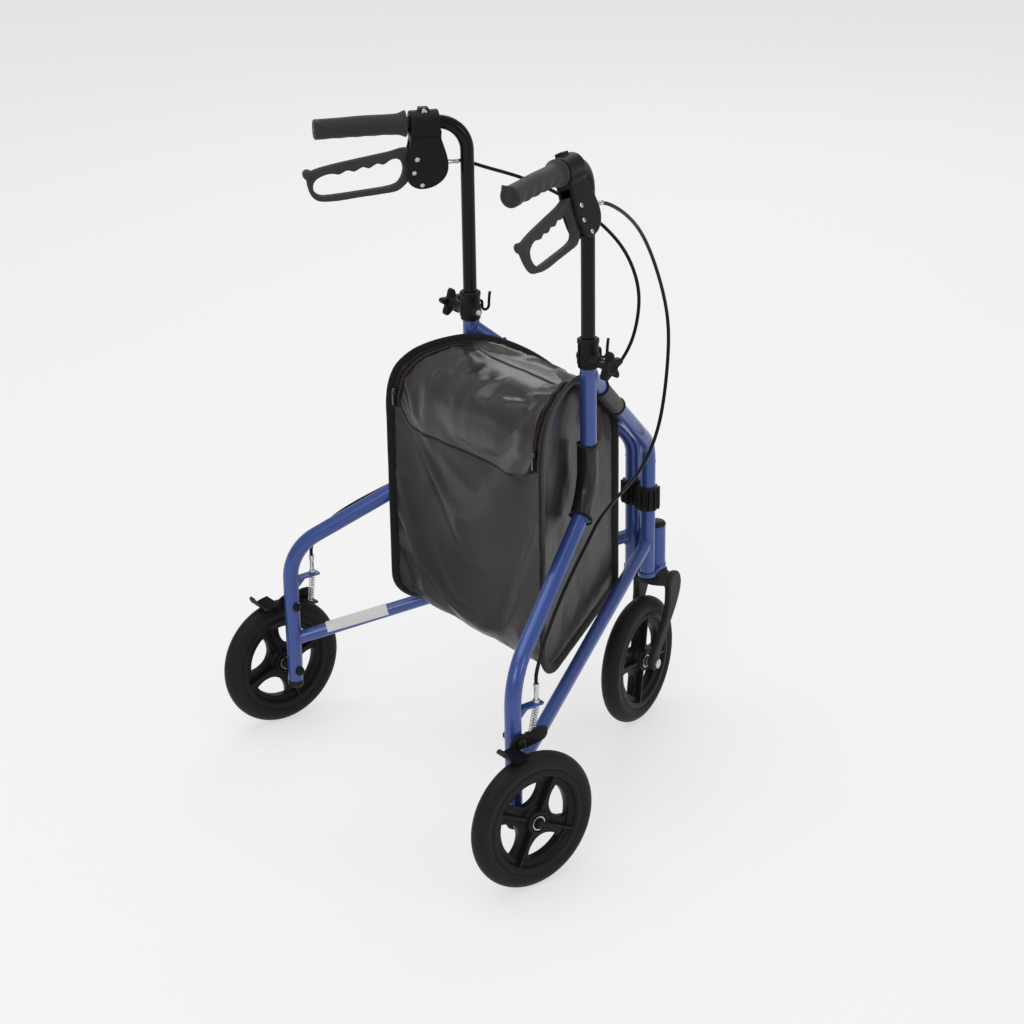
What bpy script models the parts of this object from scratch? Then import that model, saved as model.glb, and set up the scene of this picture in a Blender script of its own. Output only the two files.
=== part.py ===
"""Three-wheeled folding rollator walker.

Metres, +Z up, +Y the way it travels, +X to the user's right. The origin is on the floor,
under the middle of the walker. Each side frame is modelled in its own plane: x points
outwards, -y runs rearwards from the fold axis, z is up.
"""
import math

import bmesh
import bpy
from mathutils import Matrix, Vector

# ---- Driving dimensions ---------------------------------------------------------------
GAP = 0.0003                    # clearance between touching pieces
SIDES = {"right": 1, "left": -1}

FOLD_Y = 0.2302                 # fold axes, ahead of the origin
FOLD_X = 0.0165                 # fold axes, each side of the middle
SPLAY = math.radians(30)        # half opening angle of the side frames

TUBE_R = 0.0111                 # main and front tubes
TUBE_SIDES = 16
LOWER_TUBE_R = 0.0095
POST_U = 0.2305                 # post axis behind the fold axis
LEG_U = 0.499                   # rear leg axis behind the fold axis
POST_TOP = 0.652
POST_BEND_Z = 0.4296
LEG_BEND_Z = 0.2833
LEG_BOTTOM = 0.078
TUBE_BEND_R = 0.075
POST_BORE_BOTTOM = 0.470

FRONT_WELD_Z = 0.607            # where the front tube meets the post
FRONT_BEND_Z = 0.427
FRONT_BEND_R = 0.050
FRONT_BOTTOM = 0.2285
LOWER_FRONT_Z = 0.274
LOWER_REAR_Z = 0.143

PIN_R = 0.006
PIN_TOP = 0.385
GEAR_BOTTOM, GEAR_TOP = 0.328, 0.360
GEAR_TEETH = 12
GEAR_ROOT_R, GEAR_TIP_R = 0.0143, 0.0181

COLLAR_BOTTOM, COLLAR_TOP, COLLAR_R = 0.617, 0.658, 0.0142
KNOB_Z = 0.630
KNOB_OUT = 0.045
KNOB_R = 0.021
KNOB_HUB_R = 0.0065
BOSS_R, BOSS_END = 0.0078, 0.024    # clamp boss towards the knob
LUG_R = 0.0068                      # clamp nut's lug on the other side
HOOK_R = 0.002

HANDLE_R = 0.0095
HANDLE_BOTTOM = 0.545
GRIP_Z = 0.900
HANDLE_BEND_R = 0.042
HANDLE_TOE = math.radians(5.5)  # handles turn inwards from the side frame's plane
GRIP_START, GRIP_END, GRIP_R = 0.084, 0.209, 0.014
FLANGE_R = 0.0175               # grip's collar next to the brake housing
BRAKE_ROLL = {"right": math.radians(20), "left": 0.0}
HOUSING_HALF = 0.012
LEVER_HALF = 0.0058
LEVER_PIVOT = (0.071, -0.048)   # behind the post axis, above the grip axis

WHEEL_R = 0.095
WHEEL_OUT = 0.0384              # wheel's middle plane outboard of the leg axis
TYRE_HALF = 0.014
RIM_R = 0.0725
HUB_R = 0.0165
HUB_HALF = 0.015
AXLE_R = 0.004
SPOKES = 4
SPOKE_START = {"right": math.radians(-27), "left": math.radians(-70), "front": math.radians(-10)}

BRAKE_Z = 0.197                 # brake arm's pivot on the leg
PAD_GAP = 0.004
TAB_Z = 0.2345
ADJUSTER_Y, ADJUSTER_X = 0.0375, 0.001
CABLE_R = 0.0025

STEM_Y = 0.030                  # caster stem ahead of the fold axes
HEAD_R = 0.014
HEAD_BOTTOM, HEAD_TOP = 0.2215, 0.288
CROWN_TOP = 0.2205
TRAIL = 0.0563
CASTER_TURN = math.radians(22.5)

BAG_WALL = 0.003
BAG_INSET = 0.0231              # bag side inboard of the side frame's axis, measured along X
FLAP_Y = -0.211                 # fold line of the flap, behind the fold axes
FLAP_Z = 0.495                  # lower edge of the flap on the rear panel

BLUE, BLACK, GREY = (0.035, 0.075, 0.30), (0.012, 0.012, 0.013), (0.05, 0.05, 0.052)
ZINC, TYRE, VINYL = (0.62, 0.63, 0.64), (0.03, 0.03, 0.03), (0.016, 0.015, 0.015)


# ---- Helpers --------------------------------------------------------------------------
def make_material(name, colour, roughness, metallic):
    material = bpy.data.materials.new(name)
    material.use_nodes = True
    shader = material.node_tree.nodes["Principled BSDF"]
    shader.inputs["Base Color"].default_value = (*colour, 1.0)
    shader.inputs["Roughness"].default_value = roughness
    shader.inputs["Metallic"].default_value = metallic
    return material


def make_empty(name, parent=None, location=(0, 0, 0), rotation=(0, 0, 0)):
    empty = bpy.data.objects.new(name, None)
    bpy.context.scene.collection.objects.link(empty)
    empty.parent = parent
    empty.location = location
    empty.rotation_euler = rotation
    return empty


def make_object(name, bm, material, parent=None):
    """One closed body from a bmesh, its faces pointing out."""
    bmesh.ops.recalc_face_normals(bm, faces=bm.faces)
    mesh = bpy.data.meshes.new(name)
    bm.to_mesh(mesh)
    bm.free()
    mesh.shade_smooth()
    mesh.set_sharp_from_angle(angle=math.radians(35))
    obj = bpy.data.objects.new(name, mesh)
    bpy.context.scene.collection.objects.link(obj)
    obj.parent = parent
    if material is not None:
        mesh.materials.append(material)
    return obj


def boolean(obj, bm, operation="DIFFERENCE"):
    """Cut a shape from an object, or join one to it; the shape stays as a hidden guide."""
    guide = make_object("guide_" + obj.name, bm, None, obj.parent)
    guide.hide_render = True
    guide.display_type = "WIRE"
    modifier = obj.modifiers.new("cut", "BOOLEAN")
    modifier.operation = operation
    modifier.solver = "EXACT"
    modifier.object = guide


def ring_points(centre, across, up, radius, sides):
    turn = 2 * math.pi / sides
    return [centre + across * (radius * math.cos(turn * i)) + up * (radius * math.sin(turn * i))
            for i in range(sides)]


def bridge_rings(bm, first, second):
    count = len(first)
    for i in range(count):
        j = (i + 1) % count
        bm.faces.new((first[i], first[j], second[j], second[i]))


def sweep(path, radius, sides, inner=0.0):
    """A round rod along a path, or a pipe when inner is its bore."""
    bm = bmesh.new()
    points = [Vector(p) for p in path]
    tangents = []
    for i in range(len(points)):
        ahead = points[min(i + 1, len(points) - 1)]
        behind = points[max(i - 1, 0)]
        tangents.append((ahead - behind).normalized())
    start = Vector((1, 0, 0)) if abs(tangents[0].x) < 0.9 else Vector((0, 1, 0))
    across = (start - tangents[0] * start.dot(tangents[0])).normalized()
    outer_rings, inner_rings = [], []
    for point, tangent in zip(points, tangents):
        across = (across - tangent * across.dot(tangent)).normalized()
        up = tangent.cross(across)
        ring = [bm.verts.new(p) for p in ring_points(point, across, up, radius, sides)]
        outer_rings.append(ring)
        if inner:
            inner_rings.append([bm.verts.new(p)
                                for p in ring_points(point, across, up, inner, sides)])
    for rings in (outer_rings, inner_rings):
        for first, second in zip(rings, rings[1:]):
            bridge_rings(bm, first, second)
    for end in (0, -1):
        if inner:
            bridge_rings(bm, outer_rings[end], inner_rings[end])
        else:
            bm.faces.new(outer_rings[end])
    return bm


def revolve(profile, sides, axis="Z", centre=(0, 0, 0), closed=False):
    """Turn (radius, height) points about an axis. A closed profile gives a ring with a bore."""
    bm = bmesh.new()
    turns = {"Z": Matrix.Identity(4), "X": Matrix.Rotation(math.pi / 2, 4, "Y"),
             "Y": Matrix.Rotation(-math.pi / 2, 4, "X")}
    place = Matrix.Translation(Vector(centre)) @ turns[axis]
    rings = []
    for radius, height in profile:
        if radius == 0:
            rings.append([bm.verts.new(place @ Vector((0, 0, height)))])
        else:
            base = ring_points(Vector((0, 0, height)), Vector((1, 0, 0)), Vector((0, 1, 0)),
                               radius, sides)
            rings.append([bm.verts.new(place @ p) for p in base])
    pairs = list(zip(rings, rings[1:]))
    if closed:
        pairs.append((rings[-1], rings[0]))
    for first, second in pairs:
        if len(first) == 1 or len(second) == 1:
            tip, ring = (first[0], second) if len(first) == 1 else (second[0], first)
            for i in range(sides):
                bm.faces.new((tip, ring[i], ring[(i + 1) % sides]))
        else:
            bridge_rings(bm, first, second)
    return bm


def rod(radius, start, end, sides=24, axis="Z", centre=(0, 0, 0)):
    return revolve([(0, start), (radius, start), (radius, end), (0, end)], sides, axis, centre)


def prism(outline, low, high, axis="X"):
    """Extrude an outline along an axis. The outline is (y, z) for X and (x, y) for Z."""
    bm = bmesh.new()
    rings = []
    for level in (low, high):
        if axis == "X":
            rings.append([bm.verts.new((level, a, b)) for a, b in outline])
        else:
            rings.append([bm.verts.new((a, b, level)) for a, b in outline])
    bridge_rings(bm, rings[0], rings[1])
    for ring in rings:
        bm.faces.new(ring)
    return bm


def box(low, high):
    outline = [(low[1], low[2]), (high[1], low[2]), (high[1], high[2]), (low[1], high[2])]
    return prism(outline, low[0], high[0])


def arc(centre, radius, start, end, steps):
    """Points on an arc, angles in degrees from the first axis towards the second."""
    angles = [math.radians(start + (end - start) * i / steps) for i in range(steps + 1)]
    return [(centre[0] + radius * math.cos(a), centre[1] + radius * math.sin(a)) for a in angles]


def rounded_path(corners, radius, steps=5):
    """A 3-D path whose inner corners are rounded to one bend radius."""
    points = [Vector(c) for c in corners]
    path = [points[0]]
    for before, corner, after in zip(points, points[1:], points[2:]):
        to_before = (before - corner).normalized()
        to_after = (after - corner).normalized()
        half = to_before.angle(to_after) / 2
        centre = corner + (to_before + to_after).normalized() * (radius / math.sin(half))
        first = corner + to_before * (radius / math.tan(half)) - centre
        last = corner + to_after * (radius / math.tan(half)) - centre
        sweep_angle = first.angle(last)
        for i in range(steps + 1):
            t = i / steps
            blend = (first * math.sin((1 - t) * sweep_angle) + last * math.sin(t * sweep_angle))
            path.append(centre + blend / math.sin(sweep_angle))
    path.append(points[-1])
    return path


def smooth_route(route, step):
    """Points at an even step on a Catmull-Rom curve through a route's own points."""
    p = [Vector(r) for r in route]
    p = [2 * p[0] - p[1]] + p + [2 * p[-1] - p[-2]]
    dense = []
    for a, b, c, d in zip(p, p[1:], p[2:], p[3:]):
        for i in range(12):
            t = i / 12
            dense.append(0.5 * (2 * b + (c - a) * t + (2 * a - 5 * b + 4 * c - d) * t ** 2
                                + (3 * b - a - 3 * c + d) * t ** 3))
    dense.append(p[-2])
    length = sum((b - a).length for a, b in zip(dense, dense[1:]))
    count = round(length / step)
    points, run, target = [dense[0]], 0.0, length / count
    for a, b in zip(dense, dense[1:]):
        span = (b - a).length
        while run + span >= target * len(points) - 1e-9 and len(points) < count:
            points.append(a.lerp(b, (target * len(points) - run) / span))
        run += span
    points.append(dense[-1])
    return points


# ---- Side frames ----------------------------------------------------------------------
def frame_point(side, u, out, z):
    """A point u behind the fold axis and out from the side frame's plane, in its own axes."""
    return Vector((side * out, -u, z))


def build_tubes(tag, side, frame):
    def post_line(u, z):
        return frame_point(side, u, 0, z)

    path = rounded_path([post_line(POST_U, POST_TOP), post_line(POST_U, POST_BEND_Z),
                         post_line(LEG_U, LEG_BEND_Z), post_line(LEG_U, LEG_BOTTOM)], TUBE_BEND_R)
    main = make_object("main_tube_" + tag, sweep(path, TUBE_R, TUBE_SIDES), MAT["blue"], frame)
    boolean(main, rod(HANDLE_R + 2 * GAP, POST_BORE_BOTTOM, 0.7, centre=(0, -POST_U, 0)))
    for height in (WHEEL_R, BRAKE_Z):
        hole = rod(AXLE_R + 2 * GAP, -0.02, 0.02, 16, "X")
        place = Matrix.Translation((0, -LEG_U, height)) @ Matrix.Rotation(-side * SPLAY, 4, "Z")
        bmesh.ops.transform(hole, matrix=place, verts=hole.verts)
        boolean(main, hole)

    path = rounded_path([post_line(POST_U, FRONT_WELD_Z), post_line(0, FRONT_BEND_Z),
                         post_line(0, FRONT_BOTTOM)], FRONT_BEND_R)
    front = make_object("front_tube_" + tag, sweep(path, TUBE_R, TUBE_SIDES), MAT["blue"], frame)
    boolean(front, rod(TUBE_R + GAP, 0.5, 0.7, centre=(0, -POST_U, 0)))
    boolean(front, rod(PIN_R + 2 * GAP, 0.2, PIN_TOP + 0.001))

    path = [post_line(0, LOWER_FRONT_Z), post_line(LEG_U, LOWER_REAR_Z)]
    lower = make_object("lower_tube_" + tag, sweep(path, LOWER_TUBE_R, TUBE_SIDES), MAT["blue"], frame)
    boolean(lower, rod(TUBE_R + GAP, 0.2, 0.4))
    boolean(lower, rod(TUBE_R + GAP, 0.05, 0.25, centre=(0, -LEG_U, 0)))

    plug = [(0, 0.066), (0.007, 0.066), (0.0105, 0.069), (TUBE_R, LEG_BOTTOM - GAP),
            (0, LEG_BOTTOM - GAP)]
    make_object("leg_plug_" + tag, revolve(plug, 20, centre=(0, -LEG_U, 0)), MAT["black"], frame)

    sleeve = rounded_path([post_line(POST_U, 0.506), post_line(POST_U, POST_BEND_Z),
                           post_line(LEG_U, LEG_BEND_Z)], TUBE_BEND_R)
    make_object("post_sleeve_" + tag, sweep(sleeve[:6], 0.0134, TUBE_SIDES, TUBE_R + GAP), MAT["vinyl"],
                frame)


def build_fold_gear(tag, side, frame):
    """A toothed collar on the front tube; the two collars mesh between the tubes."""
    pitch = 2 * math.pi / GEAR_TEETH
    inwards = math.pi if side > 0 else 0.0
    phase = inwards - side * SPLAY + (0 if side > 0 else pitch / 2)
    half_widths = ((GEAR_ROOT_R, 8.6), (GEAR_TIP_R, 3.0))       # radius, half angle in degrees
    outline = []
    for tooth in range(GEAR_TEETH):
        middle = phase + tooth * pitch
        for radius, half in half_widths:
            outline.append((radius, middle - math.radians(half)))
        for radius, half in reversed(half_widths):
            outline.append((radius, middle + math.radians(half)))
    bm = bmesh.new()
    rings = []
    for level in (GEAR_BOTTOM, GEAR_TOP):
        outer = [bm.verts.new((r * math.cos(a), r * math.sin(a), level)) for r, a in outline]
        bore = TUBE_R + GAP
        inner = [bm.verts.new((bore * math.cos(a), bore * math.sin(a), level))
                 for r, a in outline]
        bridge_rings(bm, outer, inner)
        rings.append((outer, inner))
    bridge_rings(bm, rings[0][0], rings[1][0])
    bridge_rings(bm, rings[0][1], rings[1][1])
    make_object("fold_gear_" + tag, bm, MAT["black"], frame)


def build_collar(tag, side, frame):
    """Height clamp on the post's top, its star knob, and the bag hook."""
    clamp = make_empty("clamp_axes_" + tag, frame, (0, -POST_U, 0), (0, 0, -side * SPLAY))
    profile = [(TUBE_R + GAP, COLLAR_BOTTOM), (COLLAR_R, COLLAR_BOTTOM),
               (COLLAR_R, COLLAR_TOP - 0.002), (COLLAR_R - 0.002, COLLAR_TOP),
               (HANDLE_R + 2 * GAP, COLLAR_TOP), (HANDLE_R + 2 * GAP, POST_TOP + GAP),
               (TUBE_R + GAP, POST_TOP + GAP)]
    collar = make_object("collar_" + tag, revolve(profile, 20, closed=True), MAT["black"], clamp)
    for radius, start, end in ((BOSS_R, 0.0125, BOSS_END), (LUG_R, -0.0185, -0.0125)):
        low, high = sorted((side * start, side * end))
        boolean(collar, rod(radius, low, high, 20, "X", (0, 0, KNOB_Z)), "UNION")

    turn = make_empty("knob_axis_" + tag, clamp, (0, 0, KNOB_Z))
    star = [(KNOB_R * (0.83 + 0.17 * math.cos(5 * a)), a)
            for a in [2 * math.pi * i / 30 for i in range(30)]]
    outline = [(r * math.cos(a), r * math.sin(a)) for r, a in star]
    low, high = sorted((side * (KNOB_OUT - 0.008), side * (KNOB_OUT + 0.008)))
    knob = make_object("knob_" + tag, prism(outline, low, high), MAT["black"], turn)
    low, high = sorted((side * (BOSS_END + GAP), side * (KNOB_OUT - 0.006)))
    boolean(knob, rod(KNOB_HUB_R, low, high, 16, "X"), "UNION")

    hook_path = [(0, COLLAR_R + GAP + 0.0001, 0.640), (0, 0.0180, 0.640)]
    hook_path += [(0, y, z) for y, z in arc((0.0262, 0.6310), 0.0058, 180, 360, 6)]
    hook_path += [(0, 0.0326, 0.640), (0, 0.0338, 0.650)]
    make_object("hook_" + tag, sweep(hook_path, HOOK_R, 10), MAT["black"], clamp)


def build_rear_brake(tag, side, frame):
    """Cable tab, adjuster, wire, return spring, brake arm and its pivot bolt."""
    leg = make_empty("leg_axes_" + tag, frame, (0, -LEG_U, 0), (0, 0, -side * SPLAY))
    tab = make_object("cable_tab_" + tag,
                      box((-0.007, 0.008, TAB_Z), (0.007, 0.047, TAB_Z + 0.003)), MAT["blue"], leg)
    gusset = prism([(0.008, 0.219), (0.026, TAB_Z), (0.026, TAB_Z + 0.002),
                    (0.008, TAB_Z + 0.002)], -0.0015, 0.0015)
    boolean(tab, gusset, "UNION")
    boolean(tab, rod(TUBE_R + GAP, 0.2, 0.26))

    seat = TAB_Z + 0.003
    x = side * ADJUSTER_X
    profile = [(0, seat + GAP), (0.0052, seat + GAP), (0.0052, seat + 0.0045),
               (0.0032, seat + 0.0055), (0.0032, 0.2575), (0.0038, 0.258), (0.0038, 0.2645),
               (0, 0.2645)]
    make_object("cable_adjuster_" + tag, revolve(profile, 14, centre=(x, ADJUSTER_Y, 0)),
                MAT["zinc"], leg)

    top = Vector((x, ADJUSTER_Y, TAB_Z - GAP))
    bottom = Vector((side * -0.002, 0.0315, 0.1975))
    wire_start = top.lerp(bottom, 0.01)
    make_object("brake_wire_" + tag, sweep([wire_start, bottom], 0.0008, 8), MAT["zinc"], leg)

    turns, steps, wire = 7, 8, 0.0006
    coil_top = top.lerp(bottom, 0.06)
    coil_bottom = top.lerp(bottom, 0.97)
    path = []
    for i in range(turns * steps + 1):
        angle = 2 * math.pi * i / steps
        point = coil_top.lerp(coil_bottom, i / (turns * steps))
        path.append(point + Vector((0.004 * math.cos(angle), 0.004 * math.sin(angle), 0)))
    make_object("brake_spring_" + tag, sweep(path, wire, 4), MAT["zinc"], leg)

    pivot = make_empty("brake_axis_" + tag, leg, (0, 0, BRAKE_Z))
    plate = [(0.0430, 0.0100), (0.0390, -0.0060), (0.0060, -0.0100), (-0.0120, -0.0090),
             (-0.0160, -0.0020), (-0.0110, 0.0070), (0.0, 0.0110), (0.0160, 0.0080),
             (0.0260, 0.0130)]
    inner, outer = 0.0128, 0.0162
    low, high = sorted((side * inner, side * outer))
    arm = make_object("brake_arm_" + tag, prism(plate, low, high), MAT["black"], pivot)
    flange = prism([(0.0240, -0.0055), (0.0400, -0.0055), (0.0400, -0.0025), (0.0240, -0.0025)],
                   *sorted((side * -0.0080, side * (inner + 0.001))))
    boolean(arm, flange, "UNION")
    tyre_centre = (0.0, WHEEL_R - BRAKE_Z)
    reach = WHEEL_R + PAD_GAP
    under = arc(tyre_centre, reach, 96, 109, 4)
    over = arc(tyre_centre, reach + 0.003, 109, 96, 4)
    tip = [(-0.0405, -0.0010), (-0.0450, 0.0110), (-0.0422, 0.0122), (-0.0372, 0.0010)]
    low, high = sorted((side * (inner + 0.001), side * 0.0520))
    boolean(arm, prism(under + tip + over, low, high), "UNION")
    boolean(arm, rod(AXLE_R + 2 * GAP, -0.03, 0.03, 16, "X"))

    profile = [(0, -0.0165), (0.0065, -0.0165), (0.0065, -0.0115), (AXLE_R, -0.0115),
               (AXLE_R, 0.0165), (0.0068, 0.0165), (0.0068, 0.0215), (0, 0.0215)]
    profile = [(r, side * h) for r, h in profile]
    make_object("brake_bolt_" + tag, revolve(profile, 12, "X", (0, 0, BRAKE_Z)), MAT["zinc"], leg)

    hub_inner, hub_outer = WHEEL_OUT - HUB_HALF, WHEEL_OUT + HUB_HALF
    profile = [(0, -0.0170), (0.0070, -0.0170), (0.0070, -0.0115), (AXLE_R, -0.0115),
               (AXLE_R, 0.0120), (0.0075, 0.0120), (0.0075, hub_inner - GAP),
               (AXLE_R, hub_inner - GAP), (AXLE_R, hub_outer + GAP), (0.0068, hub_outer + GAP),
               (0.0068, hub_outer + 0.0060), (0, hub_outer + 0.0060)]
    profile = [(r, side * h) for r, h in profile]
    make_object("axle_bolt_" + tag, revolve(profile, 12, "X", (0, 0, WHEEL_R)), MAT["zinc"], leg)
    return leg


# ---- Wheels ---------------------------------------------------------------------------
def build_wheel(tag, parent, centre):
    """A four-spoke rim with a solid tyre, turning about the parent's X axis."""
    hub = make_empty("wheel_axis_" + tag, parent, centre)
    ring = [(0.0560, -0.0065), (0.0640, -0.0080), (0.0665, -0.0125), (RIM_R, -0.0125),
            (RIM_R, 0.0125), (0.0665, 0.0125), (0.0640, 0.0080), (0.0560, 0.0065)]
    rim = make_object("rim_" + tag, revolve(ring, 32, "X", closed=True), MAT["black"], hub)
    boolean(rim, rod(HUB_R, -HUB_HALF, HUB_HALF, 16, "X"), "UNION")
    for spoke in range(SPOKES):
        blade = prism([(-0.0120, 0.010), (0.0120, 0.010), (0.0090, 0.034), (0.0115, 0.0600),
                       (-0.0115, 0.0600), (-0.0090, 0.034)], -0.0062, 0.0062)
        turn = Matrix.Rotation(SPOKE_START[tag] + 2 * math.pi * spoke / SPOKES, 4, "X")
        bmesh.ops.transform(blade, matrix=turn, verts=blade.verts)
        boolean(rim, blade, "UNION")
    boolean(rim, rod(AXLE_R + 2 * GAP, -0.05, 0.05, 16, "X"))

    bore = RIM_R + GAP
    crown = arc((WHEEL_R - TYRE_HALF, 0), TYRE_HALF, -78, 78, 6)
    profile = [(bore, 0.0118), (bore, -0.0118), (0.0765, -0.0136)] + crown + [(0.0765, 0.0136)]
    make_object("tyre_" + tag, revolve(profile, 36, "X", closed=True), MAT["tyre"], hub)


# ---- Handles --------------------------------------------------------------------------
def build_handle(tag, side, frame):
    handle = make_empty("handle_axes_" + tag, frame, (0, -POST_U, 0), (0, 0, -side * HANDLE_TOE))
    path = rounded_path([(0, 0, HANDLE_BOTTOM), (0, 0, GRIP_Z), (0, 0.004 - GRIP_END, GRIP_Z)],
                        HANDLE_BEND_R, 6)
    make_object("handle_tube_" + tag, sweep(path, HANDLE_R, TUBE_SIDES), MAT["gloss"], handle)

    skin = [(HANDLE_R + GAP, -GRIP_START), (FLANGE_R, -GRIP_START),
            (FLANGE_R, -GRIP_START - 0.006), (GRIP_R, -GRIP_START - 0.009),
            (GRIP_R, -GRIP_END + 0.003), (GRIP_R - 0.003, -GRIP_END), (0, -GRIP_END)]
    cup = close_cup(revolve(skin, 20, "Y", (0, 0, GRIP_Z)), 0.0035 - GRIP_END)
    make_object("grip_" + tag, cup, MAT["grey"], handle)
    return handle


def close_cup(bm, depth):
    """Turn an open skin into a cup: run its open edge in along Y to a flat bottom."""
    mouth = [e for e in bm.edges if e.is_boundary]
    deep = bmesh.ops.extrude_edge_only(bm, edges=mouth)
    for vert in [g for g in deep["geom"] if isinstance(g, bmesh.types.BMVert)]:
        vert.co.y = depth
    edges = [g for g in deep["geom"] if isinstance(g, bmesh.types.BMEdge)]
    bmesh.ops.contextual_create(bm, geom=edges)
    return bm


def build_brake_unit(tag, side, handle):
    """Brake housing clamped round the grip tube, its loop lever and the lever's pin."""
    unit = make_empty("brake_unit_axes_" + tag, handle, (0, 0, GRIP_Z),
                      (0, -side * BRAKE_ROLL[tag], 0))
    cheek = [(0.0388, -0.008), (0.0325, -0.030), (0.0284, -0.050), (0.0284, -0.0640),
             (0.0350, -0.0780), (0.0480, -0.0870), (0.0630, -0.0900), (0.0760, -0.0870),
             (0.0840, -0.0790), (0.0835, -0.0600), (0.0815, -0.0190), (0.0790, -0.008)]
    outline = [(-s, z) for s, z in cheek]
    housing = make_object("brake_housing_" + tag, prism(outline, -HOUSING_HALF, HOUSING_HALF),
                          MAT["black"], unit)
    boolean(housing, rod(0.0172, -0.079, -0.0385, 28, "Y"), "UNION")
    boolean(housing, box((-0.0065, -0.067, 0.014), (0.0065, -0.051, 0.0205)), "UNION")
    boolean(housing, rod(0.0045, -0.036, -0.0225, 14, "Y", (side * 0.006, 0, -0.058)), "UNION")
    boolean(housing, rod(HANDLE_R + 2 * GAP, -0.09, -0.03, 24, "Y"))
    boolean(housing, box((-0.0068, -0.100, -0.100), (0.0068, -0.057, -0.024)))
    pivot_y, pivot_z = -LEVER_PIVOT[0], LEVER_PIVOT[1]
    boolean(housing, rod(AXLE_R + 2 * GAP, -0.02, 0.02, 16, "X", (0, pivot_y, pivot_z)))

    pin = [(0, -0.0148), (0.0062, -0.0148), (0.0062, -0.0124), (AXLE_R, -0.0124),
           (AXLE_R, 0.0124), (0.0062, 0.0124), (0.0062, 0.0148), (0, 0.0148)]
    make_object("lever_pin_" + tag, revolve(pin, 14, "X", (0, pivot_y, pivot_z)), MAT["zinc"],
                unit)

    turn = make_empty("lever_axis_" + tag, unit, (0, pivot_y, pivot_z))
    loop = [(0.0710, -0.0375), (0.0885, -0.0300), (0.1080, -0.0385), (0.1505, -0.0430),
            (0.1900, -0.0480), (0.2190, -0.0560), (0.2237, -0.0600), (0.2210, -0.0800),
            (0.2150, -0.0950), (0.2065, -0.1010), (0.1800, -0.1015), (0.1526, -0.0984),
            (0.1200, -0.0955), (0.0980, -0.0940), (0.0820, -0.0800), (0.0690, -0.0665),
            (0.0600, -0.0590), (0.0590, -0.0480), (0.0625, -0.0405)]
    window = [(0.2145, -0.0740), (0.2070, -0.0680), (0.1490, -0.0590), (0.1010, -0.0500),
              (0.0930, -0.0560), (0.0900, -0.0670), (0.0960, -0.0760), (0.1095, -0.0830),
              (0.1500, -0.0868), (0.1906, -0.0900), (0.2050, -0.0895), (0.2120, -0.0830)]

    def about_pivot(points):
        return [(-s - pivot_y, z - pivot_z) for s, z in points]

    lever = make_object("brake_lever_" + tag,
                        prism(about_pivot(loop), -LEVER_HALF, LEVER_HALF), MAT["grey"], turn)
    boolean(lever, prism(about_pivot(window), -0.02, 0.02))
    boolean(lever, rod(AXLE_R + 2 * GAP, -0.02, 0.02, 16, "X"))


def build_cable(tag, side, frame):
    """The brake cable: forward from the housing, down past the front tube, back to the leg."""
    routes = {
        "right": [(0.2490, 0.0225, 0.8475), (0.2310, 0.0260, 0.8430), (0.2050, 0.0300, 0.8300),
                  (0.1755, 0.0310, 0.8140), (0.1190, 0.0310, 0.7775), (0.0600, 0.0300, 0.7160),
                  (0.0060, 0.0300, 0.6310), (0.0000, 0.0300, 0.5706), (0.0150, 0.0290, 0.5010),
                  (0.0245, 0.0220, 0.4515), (0.0615, 0.0170, 0.4190), (0.1130, 0.0155, 0.4100),
                  (0.1530, 0.0150, 0.4080), (0.1990, 0.0150, 0.4050), (0.2380, 0.0150, 0.3990),
                  (0.2570, 0.0150, 0.3900), (0.3180, 0.0150, 0.3670), (0.3720, 0.0150, 0.3420),
                  (0.4250, 0.0165, 0.3120), (0.4530, 0.0185, 0.2900)],
        "left": [(0.2490, 0.0040, 0.8425), (0.2400, 0.0090, 0.8415), (0.2290, 0.0140, 0.8390),
                 (0.2170, 0.0160, 0.8330), (0.1830, 0.0160, 0.8215), (0.1490, 0.0150, 0.8100),
                 (0.0900, 0.0150, 0.7800), (0.0350, 0.0150, 0.7330), (0.0060, 0.0150, 0.6940),
                 (-0.0110, 0.0150, 0.6430), (-0.0080, 0.0150, 0.5980), (0.0030, 0.0160, 0.5540),
                 (0.0350, 0.0170, 0.5100), (0.0850, 0.0170, 0.4520), (0.1500, 0.0160, 0.4220),
                 (0.2100, 0.0160, 0.4050), (0.2600, 0.0155, 0.3960), (0.3150, 0.0152, 0.3840),
                 (0.3570, 0.0152, 0.3660), (0.4020, 0.0155, 0.3440), (0.4380, 0.0170, 0.3210),
                 (0.4580, 0.0185, 0.2960)],
    }
    route = [frame_point(side, *point) for point in routes[tag]]
    leg_to_frame = (Matrix.Translation((0, -LEG_U, 0))
                    @ Matrix.Rotation(-side * SPLAY, 4, "Z"))
    for height in (0.2780, 0.2655):
        route.append(leg_to_frame @ Vector((side * ADJUSTER_X, ADJUSTER_Y, height)))
    curve = bpy.data.curves.new("brake_cable_" + tag, "CURVE")
    curve.dimensions = "3D"
    curve.bevel_depth = CABLE_R
    curve.bevel_resolution = 2
    curve.use_fill_caps = True
    spline = curve.splines.new("POLY")
    points = smooth_route(route, 0.0148)
    spline.points.add(len(points) - 1)
    for slot, point in zip(spline.points, points):
        slot.co = (*point, 1.0)
    cable = bpy.data.objects.new("brake_cable_" + tag, curve)
    bpy.context.scene.collection.objects.link(cable)
    cable.parent = frame
    curve.materials.append(MAT["black"])


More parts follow.
